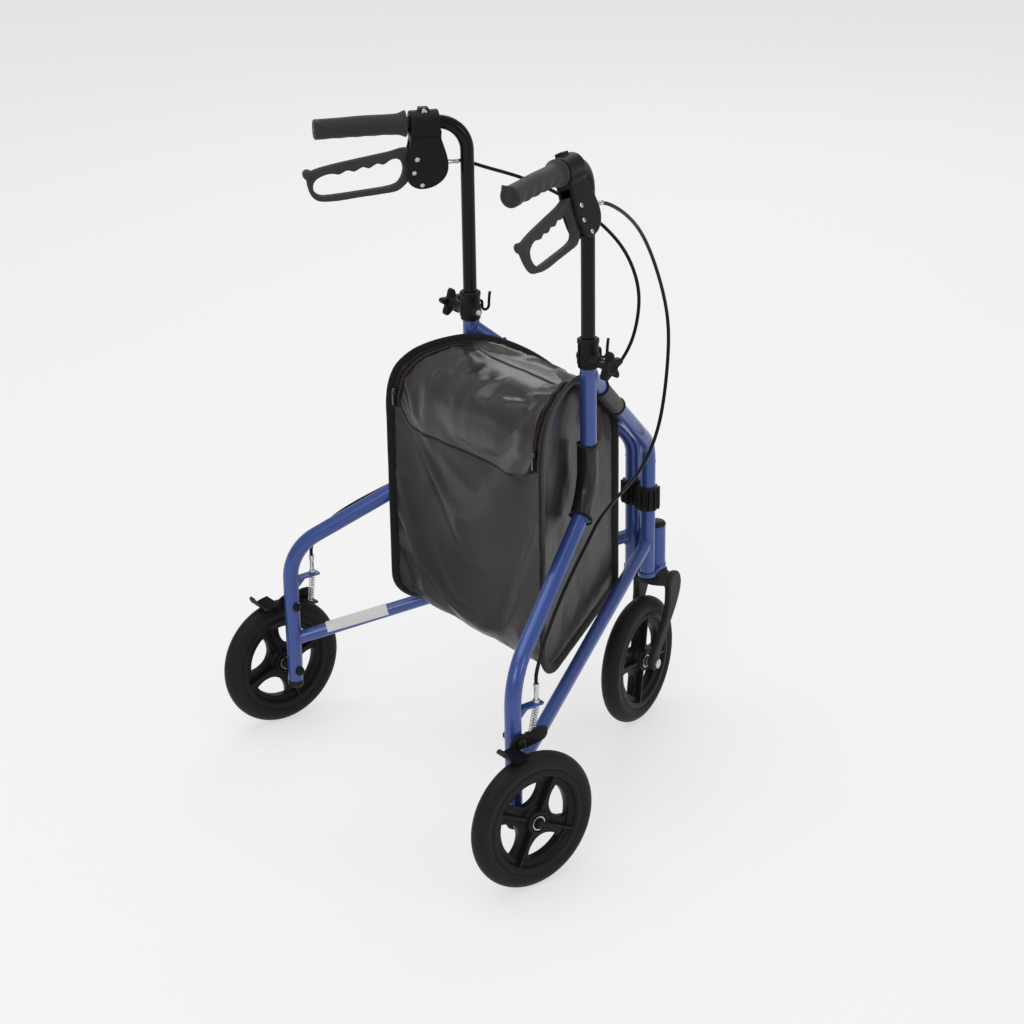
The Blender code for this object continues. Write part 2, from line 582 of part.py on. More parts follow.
# ---- Front column and caster ----------------------------------------------------------
def capsule_outline(circles, steps=8):
    """Outline round a set of circles, as the convex hull of points on them."""
    points = []
    for x, y, radius in circles:
        points += arc((x, y), radius, 0, 360 - 360 / (4 * steps), 4 * steps - 1)
    points = sorted(set((round(x, 7), round(y, 7)) for x, y in points))

    def half_hull(ordered):
        hull = []
        for p in ordered:
            while len(hull) > 1 and ((hull[-1][0] - hull[-2][0]) * (p[1] - hull[-2][1])
                                     <= (hull[-1][1] - hull[-2][1]) * (p[0] - hull[-2][0])):
                hull.pop()
            hull.append(p)
        return hull[:-1]

    return half_hull(points) + half_hull(points[::-1])


def build_column(fold):
    """Head bracket: bottom plate, two fold pins and the caster's head tube in one weldment."""
    foot = capsule_outline([(-FOLD_X, 0, 0.0130), (FOLD_X, 0, 0.0130), (0, STEM_Y, HEAD_R + 0.001)], 5)
    bracket = make_object("head_bracket", prism(foot, HEAD_BOTTOM, FRONT_BOTTOM - 2 * GAP, "Z"),
                          MAT["blue"], fold)
    boolean(bracket, rod(HEAD_R, HEAD_BOTTOM + 0.001, HEAD_TOP, 24, centre=(0, STEM_Y, 0)), "UNION")
    boolean(bracket, box((-0.003, 0.0, HEAD_BOTTOM + 0.002), (0.003, STEM_Y - 0.010, 0.280)),
            "UNION")
    for side in SIDES.values():
        boolean(bracket, rod(PIN_R, HEAD_BOTTOM + 0.002, PIN_TOP, 16,
                             centre=(side * FOLD_X, 0, 0)), "UNION")
    boolean(bracket, rod(PIN_R + 2 * GAP, 0.2, 0.3, 20, centre=(0, STEM_Y, 0)))
    cap = [(0, HEAD_TOP + GAP), (HEAD_R + 0.0006, HEAD_TOP + GAP), (HEAD_R + 0.0006, 0.2915),
           (0.0115, 0.2945), (0, 0.2952)]
    make_object("head_cap", revolve(cap, 24, centre=(0, STEM_Y, 0)), MAT["black"], fold)


def build_caster(fold):
    swivel = make_empty("swivel_axis", fold, (0, STEM_Y, 0), (0, 0, CASTER_TURN))
    stem = [(0, CROWN_TOP + GAP), (PIN_R, CROWN_TOP + GAP), (PIN_R, HEAD_TOP - 0.001),
            (0, HEAD_TOP - 0.001)]
    make_object("caster_stem", revolve(stem, 16), MAT["zinc"], swivel)

    crown = capsule_outline([(-0.0175, 0.003, 0.0150), (0.0175, 0.003, 0.0150)], 4)
    fork = make_object("fork", prism(crown, 0.2010, CROWN_TOP, "Z"), MAT["grey"], swivel)
    blade = [(0.0180, 0.2150), (0.0235, 0.2000), (0.0210, 0.1820), (0.0040, 0.1520),
             (-0.0270, 0.1180)]
    blade += arc((-TRAIL, WHEEL_R), 0.0110, 20, -150, 7)
    blade += [(-0.0590, 0.1120), (-0.0370, 0.1420), (-0.0160, 0.1750), (-0.0120, 0.1960),
              (-0.0110, 0.2150)]
    for side in SIDES.values():
        low, high = sorted((side * 0.0215, side * 0.0315))
        boolean(fork, prism(blade, low, high), "UNION")
    boolean(fork, rod(AXLE_R + 2 * GAP, -0.05, 0.05, 16, "X", (0, -TRAIL, WHEEL_R)))

    axle = [(0, -0.0365), (0.0070, -0.0365), (0.0070, -0.0318), (AXLE_R, -0.0318),
            (AXLE_R, 0.0318), (0.0070, 0.0318), (0.0070, 0.0365), (0, 0.0365)]
    make_object("front_axle", revolve(axle, 12, "X", (0, -TRAIL, WHEEL_R)), MAT["zinc"], swivel)
    build_wheel("front", swivel, (0, -TRAIL, WHEEL_R))


# ---- Bag ------------------------------------------------------------------------------
def bag_profile():
    """The bag's side outline as (y, z), y counted from the fold axes."""
    outline = [(-0.084, 0.237), (-0.084, 0.475), (-0.090, 0.505), (-0.1080, 0.5360),
               (-0.1400, 0.5650), (-0.1800, 0.5870), (-0.2110, 0.5940), (-0.2400, 0.5910),
               (-0.2640, 0.5840), (-0.2830, 0.5740), (-0.2990, 0.5570), (-0.3070, 0.5350),
               (-0.3100, 0.5100)]
    return outline + arc((-0.275, 0.246), 0.035, 180, 270, 5)


def bag_solid(inset):
    """The bag's wedge shape, its walls moved in by an inset."""
    outline = bag_profile()
    count = len(outline)
    moved = []
    for i, point in enumerate(outline):
        before, after = Vector(outline[i - 1]), Vector(outline[(i + 1) % count])
        along = (after - before).normalized()
        normal = Vector((-along.y, along.x))
        moved.append(Vector(point) + normal * inset)
    bm = bmesh.new()
    rings = []
    for side in (1, -1):
        ring = []
        for y, z in moved:
            half = FOLD_X - BAG_INSET - y * math.tan(SPLAY) - inset
            ring.append(bm.verts.new((side * half, y, z)))
        rings.append(ring)
    bridge_rings(bm, rings[0], rings[1])
    for ring in rings:
        bm.faces.new(ring)
    return bm


def flap_region(inset):
    """The part of the bag's top and back that the flap covers, narrower by an inset."""
    bm = bmesh.new()
    front, back = FLAP_Y - inset, -0.34
    rings = []
    for z in (FLAP_Z + inset, 0.62):
        corners = []
        for side, y in ((1, front), (1, back), (-1, back), (-1, front)):
            half = FOLD_X - BAG_INSET - y * math.tan(SPLAY) - BAG_WALL - inset
            corners.append(bm.verts.new((side * half, y, z)))
        rings.append(corners)
    bridge_rings(bm, rings[0], rings[1])
    for ring in rings:
        bm.faces.new(ring)
    return bm


def build_bag(fold):
    body = make_object("bag_body", bag_solid(0), MAT["vinyl"], fold)
    boolean(body, bag_solid(BAG_WALL))
    boolean(body, flap_region(0))
    flap = make_object("bag_flap", flap_region(0.0005), MAT["vinyl"], fold)
    boolean(flap, bag_solid(0), "INTERSECT")
    boolean(flap, bag_solid(BAG_WALL))


def main():
    for obj in list(bpy.data.objects):
        bpy.data.objects.remove(obj)
    fold = make_empty("fold_axes", None, (0, FOLD_Y, 0))
    for tag, side in SIDES.items():
        frame = make_empty("frame_axes_" + tag, fold, (side * FOLD_X, 0, 0), (0, 0, side * SPLAY))
        build_tubes(tag, side, frame)
        build_fold_gear(tag, side, frame)
        build_collar(tag, side, frame)
        leg = build_rear_brake(tag, side, frame)
        build_wheel(tag, leg, (side * WHEEL_OUT, 0, WHEEL_R))
        handle = build_handle(tag, side, frame)
        build_brake_unit(tag, side, handle)
        build_cable(tag, side, frame)
    build_column(fold)
    build_caster(fold)
    build_bag(fold)


MAT = {
    "blue": make_material("frame_blue", BLUE, 0.3, 0.4),
    "black": make_material("black_plastic", BLACK, 0.5, 0.0),
    "gloss": make_material("gloss_black", BLACK, 0.2, 0.3),
    "grey": make_material("grey_plastic", GREY, 0.6, 0.0),
    "zinc": make_material("zinc", ZINC, 0.35, 1.0),
    "tyre": make_material("tyre_grey", TYRE, 0.8, 0.0),
    "vinyl": make_material("bag_vinyl", VINYL, 0.35, 0.0),
}
main()
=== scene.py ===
"""Looks of the folding three-wheeled walker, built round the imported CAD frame.

Metres, +Z up, +Y forward, +X to the user's right. Side-frame pieces are modelled in their
own plane (x outwards on the right side, -y rearwards) and moved into the row frame.
"""
import math

import bmesh
import bpy
import numpy as np
from mathutils import Matrix, Vector, noise


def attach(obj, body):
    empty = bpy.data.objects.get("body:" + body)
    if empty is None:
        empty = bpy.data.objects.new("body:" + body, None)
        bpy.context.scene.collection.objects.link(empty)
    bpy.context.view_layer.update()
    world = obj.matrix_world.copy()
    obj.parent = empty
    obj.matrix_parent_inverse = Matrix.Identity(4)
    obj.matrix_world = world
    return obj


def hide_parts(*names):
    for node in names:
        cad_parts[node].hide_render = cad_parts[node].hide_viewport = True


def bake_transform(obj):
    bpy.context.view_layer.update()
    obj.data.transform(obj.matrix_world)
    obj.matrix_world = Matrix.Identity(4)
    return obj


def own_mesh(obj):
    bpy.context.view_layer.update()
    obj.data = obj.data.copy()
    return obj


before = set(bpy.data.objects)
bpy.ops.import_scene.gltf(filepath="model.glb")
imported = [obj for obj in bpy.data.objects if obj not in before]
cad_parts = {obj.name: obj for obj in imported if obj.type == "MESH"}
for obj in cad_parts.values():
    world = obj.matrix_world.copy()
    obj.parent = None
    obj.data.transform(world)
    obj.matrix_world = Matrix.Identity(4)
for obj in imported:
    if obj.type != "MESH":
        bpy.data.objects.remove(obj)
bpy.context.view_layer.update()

# ---- Driving dimensions, as in the CAD ------------------------------------------------
SIDES = {"right": 1, "left": -1}
FOLD_Y, FOLD_X, SPLAY = 0.2302, 0.0165, math.radians(30)
TUBE_R, LOWER_TUBE_R, TUBE_BEND_R = 0.0111, 0.0095, 0.075
POST_U, LEG_U, POST_TOP, POST_BEND_Z, LEG_BEND_Z, LEG_BOTTOM = (
    0.2305, 0.499, 0.652, 0.4296, 0.2833, 0.078)
FRONT_WELD_Z, FRONT_BEND_Z, FRONT_BEND_R, FRONT_BOTTOM = 0.607, 0.427, 0.050, 0.2285
LOWER_FRONT_Z, LOWER_REAR_Z = 0.274, 0.143
GEAR_BOTTOM, GEAR_TOP, GEAR_TEETH, GEAR_ROOT_R, GEAR_TIP_R = 0.328, 0.360, 12, 0.0143, 0.0181
COLLAR_BOTTOM, COLLAR_TOP = 0.617, 0.658
KNOB_Z, KNOB_OUT, KNOB_R = 0.630, 0.045, 0.021
HANDLE_R, HANDLE_BOTTOM, HANDLE_BEND_R, HANDLE_TOE = 0.0095, 0.545, 0.042, math.radians(5.5)
GRIP_Z, GRIP_START, GRIP_END, GRIP_R = 0.900, 0.084, 0.209, 0.014
BRAKE_ROLL = {"right": math.radians(20), "left": 0.0}
LEVER_PIVOT = (0.071, -0.048)
WHEEL_R, WHEEL_OUT, RIM_R, HUB_HALF, AXLE_R = 0.095, 0.0384, 0.0725, 0.015, 0.004
SPOKE_ANGLE = {"right": 63, "left": 20, "front": 80}
BRAKE_Z, TAB_Z, ADJUSTER_X, ADJUSTER_Y, CABLE_R = 0.197, 0.2345, 0.001, 0.0375, 0.0025
STEM_Y, HEAD_R, HEAD_BOTTOM, HEAD_TOP, CROWN_TOP = 0.030, 0.014, 0.2215, 0.288, 0.2205
TRAIL, CASTER_TURN = 0.0563, math.radians(22.5)
BAG_INSET, FLAP_Y, FLAP_Z = 0.0231, -0.211, 0.495


def shift(x=0.0, y=0.0, z=0.0):
    return Matrix.Translation((x, y, z))


def turn(angle, axis):
    return Matrix.Rotation(angle, 4, axis)


FOLD, POST, CLAMP, HANDLE, UNIT, LEG = {}, {}, {}, {}, {}, {}
for tag, side in SIDES.items():
    FOLD[tag] = shift(side * FOLD_X, FOLD_Y) @ turn(side * SPLAY, "Z")
    POST[tag] = FOLD[tag] @ shift(y=-POST_U)
    CLAMP[tag] = POST[tag] @ turn(-side * SPLAY, "Z")
    HANDLE[tag] = POST[tag] @ turn(-side * HANDLE_TOE, "Z")
    UNIT[tag] = HANDLE[tag] @ shift(z=GRIP_Z) @ turn(-side * BRAKE_ROLL[tag], "Y")
    LEG[tag] = FOLD[tag] @ shift(y=-LEG_U) @ turn(-side * SPLAY, "Z")
CENTRE = shift(y=FOLD_Y)
SWIVEL = shift(y=FOLD_Y + STEM_Y) @ turn(CASTER_TURN, "Z")

# ---- Camera ---------------------------------------------------------------------------
CAMERA_PLACE = (2.6494, -1.9696, 1.7448)
CAMERA_AZIMUTH, CAMERA_PITCH, CAMERA_ROLL = 53.38, 22.53, -0.88     # degrees
CAMERA_LENS = 90.6


def add_camera():
    a, e, r = (math.radians(v) for v in (CAMERA_AZIMUTH, CAMERA_PITCH, CAMERA_ROLL))
    back = Vector((math.sin(a) * math.cos(e), -math.cos(a) * math.cos(e), math.sin(e)))
    right = Vector((0, 0, 1)).cross(back).normalized()
    up = back.cross(right)
    rolled_right = right * math.cos(r) + up * math.sin(r)
    rolled_up = up * math.cos(r) - right * math.sin(r)
    camera = link("camera", bpy.data.cameras.new("camera"))
    rotation = Matrix((rolled_right, rolled_up, back)).transposed().to_4x4()
    camera.matrix_world = shift(*CAMERA_PLACE) @ rotation
    camera.data.lens = CAMERA_LENS
    camera.data.sensor_width = 36
    camera.data.clip_end = 50
    bpy.context.scene.camera = camera


# ---- Materials ------------------------------------------------------------------------
def node(tree, kind, inputs=None, **settings):
    made = tree.nodes.new(kind)
    for key, value in settings.items():
        setattr(made, key, value)
    for key, value in (inputs or {}).items():
        if isinstance(value, bpy.types.NodeSocket):
            tree.links.new(value, made.inputs[key])
        else:
            made.inputs[key].default_value = value
    return made


def tint(colour, factor):
    return (*(min(1.0, c * factor) for c in colour), 1.0)


def make_material(name, colour, roughness, metallic, spread, cloud, rough_spread, bumps=(),
                  coat=0.0, sheen=0.0, specular=0.13, edge_wear_and_highlight=None, weave=None):
    """A surface with mottled colour and roughness, fine relief and, if asked, lighter convex edges.

    Colour varies by +-spread and roughness by +-rough_spread, in clouds of the given scale.
    A bump is (kind, scale, strength, depth). The lighter edges are (most, colour): wear on plastic
    and rubber, a painted highlight on the blue enamel; weave is a thread scale."""
    material = bpy.data.materials.new(name)
    material.use_nodes = True
    tree = material.node_tree
    shader = tree.nodes["Principled BSDF"]
    place = node(tree, "ShaderNodeTexCoord").outputs["Object"]
    clouds = node(tree, "ShaderNodeTexNoise", {"Vector": place, "Scale": cloud, "Detail": 5.0,
                                               "Roughness": 0.6})
    ramp = node(tree, "ShaderNodeMix", {"Factor": clouds.outputs["Fac"]}, data_type="RGBA")
    ramp.inputs["A"].default_value = tint(colour, 1 - spread)
    ramp.inputs["B"].default_value = tint(colour, 1 + spread)
    base = ramp.outputs["Result"]
    # Lighter convex edges broken up by noise: wear on the plastics and the tyre, a painted
    # highlight on the blue enamel.
    if edge_wear_and_highlight:
        amount, edge_colour = edge_wear_and_highlight
        edge = node(tree, "ShaderNodeMapRange", {
            "Value": node(tree, "ShaderNodeNewGeometry").outputs["Pointiness"],
            "From Min": 0.53, "From Max": 0.62, "To Min": 0.0, "To Max": amount})
        edge_mottle = node(tree, "ShaderNodeTexNoise", {"Vector": place, "Scale": 160.0, "Detail": 3.0})
        mask = node(tree, "ShaderNodeMath", {0: edge.outputs["Result"], 1: edge_mottle.outputs["Fac"]},
                    operation="MULTIPLY")
        mixed = node(tree, "ShaderNodeMix", {"Factor": mask.outputs["Value"], "A": base},
                     data_type="RGBA")
        mixed.inputs["B"].default_value = (*edge_colour, 1.0)
        base = mixed.outputs["Result"]
    if weave:
        warp, weft = (
            node(tree, "ShaderNodeTexWave", {"Vector": place, "Scale": weave, "Distortion": 0.6,
                                             "Detail": 1.0}, bands_direction=axis)
            for axis in ("X", "Z"))
        both = node(tree, "ShaderNodeMath", {0: warp.outputs["Fac"], 1: weft.outputs["Fac"]},
                    operation="MULTIPLY")
        shade = node(tree, "ShaderNodeMix", {"Factor": both.outputs["Value"], "A": base},
                     data_type="RGBA")
        shade.inputs["B"].default_value = tint(colour, 2.2)
        base = shade.outputs["Result"]
        bumps += (("weave", both.outputs["Value"], 0.5, 0.0004),)
    tree.links.new(base, shader.inputs["Base Color"])
    rough = node(tree, "ShaderNodeMapRange", {
        "Value": clouds.outputs["Fac"], "From Min": 0.3, "From Max": 0.7,
        "To Min": roughness - rough_spread, "To Max": roughness + rough_spread})
    tree.links.new(rough.outputs["Result"], shader.inputs["Roughness"])
    normal = None
    for kind, scale, strength, depth in bumps:
        if kind == "noise":
            height = node(tree, "ShaderNodeTexNoise", {"Vector": place, "Scale": scale,
                                                       "Detail": 3.0}).outputs["Fac"]
        elif kind == "cells":
            height = node(tree, "ShaderNodeTexVoronoi", {"Vector": place, "Scale": scale},
                          feature="SMOOTH_F1").outputs["Distance"]
        else:                   # the weave's own height comes in the place of a scale
            height = scale
        inputs = {"Height": height, "Strength": strength, "Distance": depth}
        if normal is not None:
            inputs["Normal"] = normal
        normal = node(tree, "ShaderNodeBump", inputs).outputs["Normal"]
    if normal is not None:
        tree.links.new(normal, shader.inputs["Normal"])
    for key, value in (("Metallic", metallic), ("Specular IOR Level", specular),
                       ("Coat Weight", coat), ("Coat Roughness", 0.12), ("Sheen Weight", sheen)):
        shader.inputs[key].default_value = value
    return material


MAT = {
    # The enamel's lighter lavender-blue edge colour is a painted highlight.
    "paint": make_material("blue_enamel", (0.036, 0.075, 0.285), 0.30, 0.25, 0.10, 9.0, 0.05,
                           (("noise", 900.0, 0.05, 0.0002), ("noise", 60.0, 0.05, 0.001)),
                           coat=0.35, specular=0.4, edge_wear_and_highlight=(0.25, (0.20, 0.24, 0.36))),
    "gloss": make_material("gloss_black_enamel", (0.0045, 0.0045, 0.005), 0.20, 0.0, 0.2, 12.0,
                           0.05, (("noise", 700.0, 0.04, 0.0002),), coat=0.10),
    "black": make_material("moulded_black", (0.009, 0.009, 0.0095), 0.42, 0.0, 0.2, 22.0, 0.07,
                           (("noise", 1500.0, 0.25, 0.0002),), edge_wear_and_highlight=(0.5, (0.09, 0.09, 0.09))),
    "rim": make_material("wheel_nylon", (0.008, 0.008, 0.0083), 0.38, 0.0, 0.2, 22.0, 0.07,
                         (("noise", 1200.0, 0.22, 0.0002),), edge_wear_and_highlight=(0.4, (0.07, 0.07, 0.07))),
    "fork": make_material("moulded_charcoal", (0.024, 0.024, 0.025), 0.48, 0.0, 0.15, 20.0, 0.06,
                          (("noise", 1300.0, 0.3, 0.0002),), edge_wear_and_highlight=(0.4, (0.10, 0.10, 0.10))),
    "lever": make_material("lever_nylon", (0.040, 0.040, 0.039), 0.54, 0.0, 0.14, 24.0, 0.06,
                           (("noise", 1400.0, 0.35, 0.0002),), edge_wear_and_highlight=(0.5, (0.12, 0.12, 0.12))),
    "grip": make_material("grip_rubber", (0.028, 0.028, 0.0285), 0.60, 0.0, 0.16, 26.0, 0.06,
                          (("noise", 1100.0, 0.5, 0.0003), ("cells", 700.0, 0.25, 0.0003)),
                          sheen=0.15),
    "tyre": make_material("tyre_rubber", (0.013, 0.013, 0.0128), 0.52, 0.0, 0.22, 14.0, 0.08,
                          (("noise", 500.0, 0.35, 0.0004), ("noise", 90.0, 0.12, 0.001)),
                          edge_wear_and_highlight=(0.5, (0.075, 0.07, 0.065))),
    "zinc": make_material("zinc_plate", (0.60, 0.61, 0.62), 0.30, 1.0, 0.10, 60.0, 0.08,
                          (("noise", 1800.0, 0.15, 0.0001),)),
    "gunmetal": make_material("gunmetal", (0.105, 0.098, 0.092), 0.34, 1.0, 0.15, 60.0, 0.08,
                              (("noise", 1400.0, 0.2, 0.0001),)),
    "steel": make_material("brake_steel", (0.012, 0.012, 0.0125), 0.42, 0.2, 0.2, 24.0, 0.06,
                           (("noise", 900.0, 0.2, 0.0002),), edge_wear_and_highlight=(0.5, (0.12, 0.12, 0.12))),
    "cable": make_material("cable_jacket", (0.008, 0.008, 0.008), 0.38, 0.0, 0.1, 40.0, 0.05,
                           (("noise", 1500.0, 0.15, 0.0001),)),
    "vinyl": make_material("bag_vinyl", (0.0150, 0.0145, 0.0140), 0.36, 0.0, 0.22, 7.0, 0.07,
                           (("cells", 620.0, 0.16, 0.0004), ("noise", 55.0, 0.22, 0.0022),
                            ("noise", 16.0, 0.20, 0.006)), specular=0.36),
    # The flap's vinyl is glossier than the bag's, and its lighter, browner base colour is a painted
    # reflection.
    "flap": make_material("flap_vinyl_painted_reflection", (0.025, 0.0228, 0.0205), 0.30, 0.0, 0.18, 9.0, 0.05,
                          (("cells", 620.0, 0.14, 0.0004), ("noise", 70.0, 0.12, 0.0020),
                           ("noise", 24.0, 0.18, 0.005)), specular=0.50),
    "strap": make_material("strap_vinyl", (0.060, 0.062, 0.055), 0.42, 0.0, 0.15, 12.0, 0.07,
                           (("cells", 620.0, 0.16, 0.0004), ("noise", 55.0, 0.22, 0.0022))),
    "tape": make_material("binding_tape", (0.005, 0.005, 0.005), 0.72, 0.0, 0.2, 40.0, 0.05,
                          (("noise", 260.0, 0.2, 0.0004),), sheen=0.25, weave=420.0),
    "zip": make_material("zip_tape", (0.016, 0.012, 0.011), 0.60, 0.0, 0.2, 50.0, 0.05,
                         weave=700.0),
    "label": make_material("paper_label", (0.72, 0.72, 0.70), 0.45, 0.0, 0.05, 30.0, 0.05,
                           (("noise", 120.0, 0.15, 0.0004),)),
}


# ---- Mesh helpers ---------------------------------------------------------------------
def link(name, data):
    """A new object in the scene."""
    obj = bpy.data.objects.new(name, data)
    bpy.context.scene.collection.objects.link(obj)
    return obj


def as_object(name, bm, place=Matrix()):
    """A linked object from a bmesh, which is used up."""
    bmesh.ops.recalc_face_normals(bm, faces=bm.faces)
    bm.transform(place)
    mesh = bpy.data.meshes.new(name)
    bm.to_mesh(mesh)
    bm.free()
    return link(name, mesh)


def as_bmesh(obj):
    """An object's mesh as a bmesh; the object is removed."""
    bm = bmesh.new()
    bm.from_mesh(obj.data)
    bpy.data.objects.remove(obj)
    return bm


def carve(obj, cutters, place=Matrix()):
    """Cut the cutters, which are used up, out of an object."""
    guides = [as_object("guide", cutter, place) for cutter in cutters]
    for guide in guides:
        modifier = obj.modifiers.new("cut", "BOOLEAN")
        modifier.operation = "DIFFERENCE"
        modifier.object = guide
    apply_modifiers(obj)
    for guide in guides:
        bpy.data.objects.remove(guide)


def piece(name, bm, material, body, place=Matrix(), stands_for=(), bevel=0.0, sharp=38,
          cuts=(), segments=3):
    """Put a mesh in the scene: moved into the row frame, finished, riding on its body."""
    obj = as_object(name, bm, place)
    obj.data.materials.append(MAT[material])
    if cuts:
        carve(obj, cuts, place)
    if bevel:
        modifier = obj.modifiers.new("bevel", "BEVEL")
        modifier.width = bevel
        modifier.segments = segments
        modifier.limit_method = "ANGLE"
        modifier.angle_limit = math.radians(32)
        modifier.harden_normals = False
        apply_modifiers(obj)
    obj.data.shade_smooth()
    obj.data.set_sharp_from_angle(angle=math.radians(sharp))
    if body:
        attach(obj, body)
    if stands_for:
        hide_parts(*stands_for)
    return obj


def apply_modifiers(obj):
    """Keep the evaluated mesh and drop the modifiers that made it."""
    bpy.context.view_layer.update()
    graph = bpy.context.evaluated_depsgraph_get()
    mesh = bpy.data.meshes.new_from_object(obj.evaluated_get(graph))
    obj.modifiers.clear()
    obj.data = mesh


def ring_points(centre, across, up, radius, sides):
    """Points of a circle, counted from across towards up."""
    step = 2 * math.pi / sides
    return [centre + across * (radius * math.cos(step * i)) + up * (radius * math.sin(step * i))
            for i in range(sides)]


def bridge(bm, first, second):
    """Faces between two closed rings of the same length."""
    count = len(first)
    for i in range(count):
        j = (i + 1) % count
        bm.faces.new((first[i], first[j], second[j], second[i]))


def sweep(path, radius, sides=32, closed=False, caps=True, shape=None, guide=None):
    """A tube along a path. Radius may be a function of the point's number; shape may be a list
    of (across, up) points instead of a circle, kept level with the guide direction."""
    bm = bmesh.new()
    points = [Vector(p) for p in path]
    count = len(points)
    rings = []
    across = None
    for i, point in enumerate(points):
        if closed:
            tangent = (points[(i + 1) % count] - points[i - 1]).normalized()
        else:
            tangent = (points[min(i + 1, count - 1)] - points[max(i - 1, 0)]).normalized()
        if guide is not None:
            base = Vector(guide)
        elif across is None:
            base = Vector((1, 0, 0)) if abs(tangent.x) < 0.9 else Vector((0, 1, 0))
        else:
            base = across
        across = (base - tangent * base.dot(tangent)).normalized()
        up = tangent.cross(across)
        size = radius(i) if callable(radius) else radius
        if shape:
            ring = [point + across * a + up * b for a, b in shape]
        else:
            ring = ring_points(point, across, up, size, sides)
        rings.append([bm.verts.new(p) for p in ring])
    for first, second in zip(rings, rings[1:]):
        bridge(bm, first, second)
    if closed:
        bridge(bm, rings[-1], rings[0])
    elif caps:
        bm.faces.new(rings[0])
        bm.faces.new(rings[-1])
    return bm


def lathe(profile, sides=48, axis="Z", centre=(0, 0, 0), closed=False):
    """A turned part from (radius, height) points. A closed profile goes back to its start."""
    bm = bmesh.new()
    turns = {"Z": Matrix(), "X": turn(math.pi / 2, "Y"), "Y": turn(-math.pi / 2, "X")}
    place = shift(*centre) @ turns[axis]
    rings = []
    for radius, height in profile:
        if radius == 0:
            rings.append([bm.verts.new(place @ Vector((0, 0, height)))])
        else:
            base = ring_points(Vector((0, 0, height)), Vector((1, 0, 0)), Vector((0, 1, 0)),
                               radius, sides)
            rings.append([bm.verts.new(place @ p) for p in base])
    pairs = list(zip(rings, rings[1:])) + ([(rings[-1], rings[0])] if closed else [])
    for first, second in pairs:
        if len(first) == 1 or len(second) == 1:
            tip, ring = (first[0], second) if len(first) == 1 else (second[0], first)
            for i in range(sides):
                bm.faces.new((tip, ring[i], ring[(i + 1) % sides]))
        else:
            bridge(bm, first, second)
    return bm


def rod(radius, start, end, sides=32, axis="Z", centre=(0, 0, 0)):
    return lathe([(0, start), (radius, start), (radius, end), (0, end)], sides, axis, centre)


def prism(outline, low, high, axis="X"):
    """An outline, (y, z) or for the Z axis (x, y), drawn out between two levels."""
    bm = bmesh.new()
    rings = []
    for level in (low, high):
        rings.append([bm.verts.new((level, a, b) if axis == "X" else (a, b, level))
                      for a, b in outline])
    bridge(bm, rings[0], rings[1])
    for ring in rings:
        bm.faces.new(ring)
    return bm


def side_prism(outline, side, inner, outer):
    """A prism between two distances from the middle, on one side of it."""
    return prism(outline, *sorted((side * inner, side * outer)))


def block(low, high):
    outline = [(low[1], low[2]), (high[1], low[2]), (high[1], high[2]), (low[1], high[2])]
    return prism(outline, low[0], high[0])


def sheet_from(rows_of_points):
    """An open sheet through rows of points."""
    bm = bmesh.new()
    grid = [[bm.verts.new(p) for p in row] for row in rows_of_points]
    for first, second in zip(grid, grid[1:]):
        for k in range(len(first) - 1):
            bm.faces.new((first[k], first[k + 1], second[k + 1], second[k]))
    return bm


def tube_from(rings_of_points):
    """An open tube through closed rings of points, and its rings of vertices."""
    bm = bmesh.new()
    rings = [[bm.verts.new(p) for p in ring] for ring in rings_of_points]
    for first, second in zip(rings, rings[1:]):
        bridge(bm, first, second)
    return bm, rings


def handed(profile, side):
    """A lathe profile with its heights turned to one side."""
    return [(r, side * h) for r, h in profile]


def both_ways(profile):
    """A lathe profile followed by its own mirror image."""
    return profile + [(r, -h) for r, h in reversed(profile)]


def arc(centre, radius, start, end, steps):
    """Points of an arc, with its angles in degrees."""
    angles = [math.radians(start + (end - start) * i / steps) for i in range(steps + 1)]
    return [(centre[0] + radius * math.cos(a), centre[1] + radius * math.sin(a)) for a in angles]


def join(*parts):
    """Several meshes as one mesh of separate bodies."""
    whole = bmesh.new()
    for part in parts:
        mesh = bpy.data.meshes.new("part")
        bmesh.ops.recalc_face_normals(part, faces=part.faces)
        part.to_mesh(mesh)
        part.free()
        whole.from_mesh(mesh)
        bpy.data.meshes.remove(mesh)
    return whole


def fuse(parts, voxel, rounds):
    """Melt overlapping shapes into one moulded body with soft inner corners."""
    whole = join(*parts)
    mesh = bpy.data.meshes.new("melt")
    whole.to_mesh(mesh)
    whole.free()
    obj = link("melt", mesh)
    remesh = obj.modifiers.new("remesh", "REMESH")
    remesh.mode = "VOXEL"
    remesh.voxel_size = voxel
    smooth = obj.modifiers.new("smooth", "SMOOTH")
    smooth.factor = 0.5
    smooth.iterations = rounds
    apply_modifiers(obj)
    return as_bmesh(obj)


def smooth_points(points, per_span, closed=True):
    """Catmull-Rom points through an outline's own points."""
    p = [Vector(q) for q in points]
    count = len(p)
    spans = count if closed else count - 1
    found = []
    for i in range(spans):
        if closed:
            a, b, c, d = p[i - 1], p[i], p[(i + 1) % count], p[(i + 2) % count]
        else:
            a = p[i - 1] if i else 2 * p[0] - p[1]
            b, c = p[i], p[i + 1]
            d = p[i + 2] if i + 2 < count else 2 * p[-1] - p[-2]
        for k in range(per_span):
            t = k / per_span
            found.append(0.5 * (2 * b + (c - a) * t + (2 * a - 5 * b + 4 * c - d) * t ** 2
                                + (3 * b - a - 3 * c + d) * t ** 3))
    if not closed:
        found.append(p[-1])
    return found


def relax(path, rounds):
    """Smooth a path between its fixed ends."""
    for _ in range(rounds):
        inner = [(a + b * 2 + c) / 4 for a, b, c in zip(path, path[1:], path[2:])]
        path = [path[0]] + inner + [path[-1]]
    return path


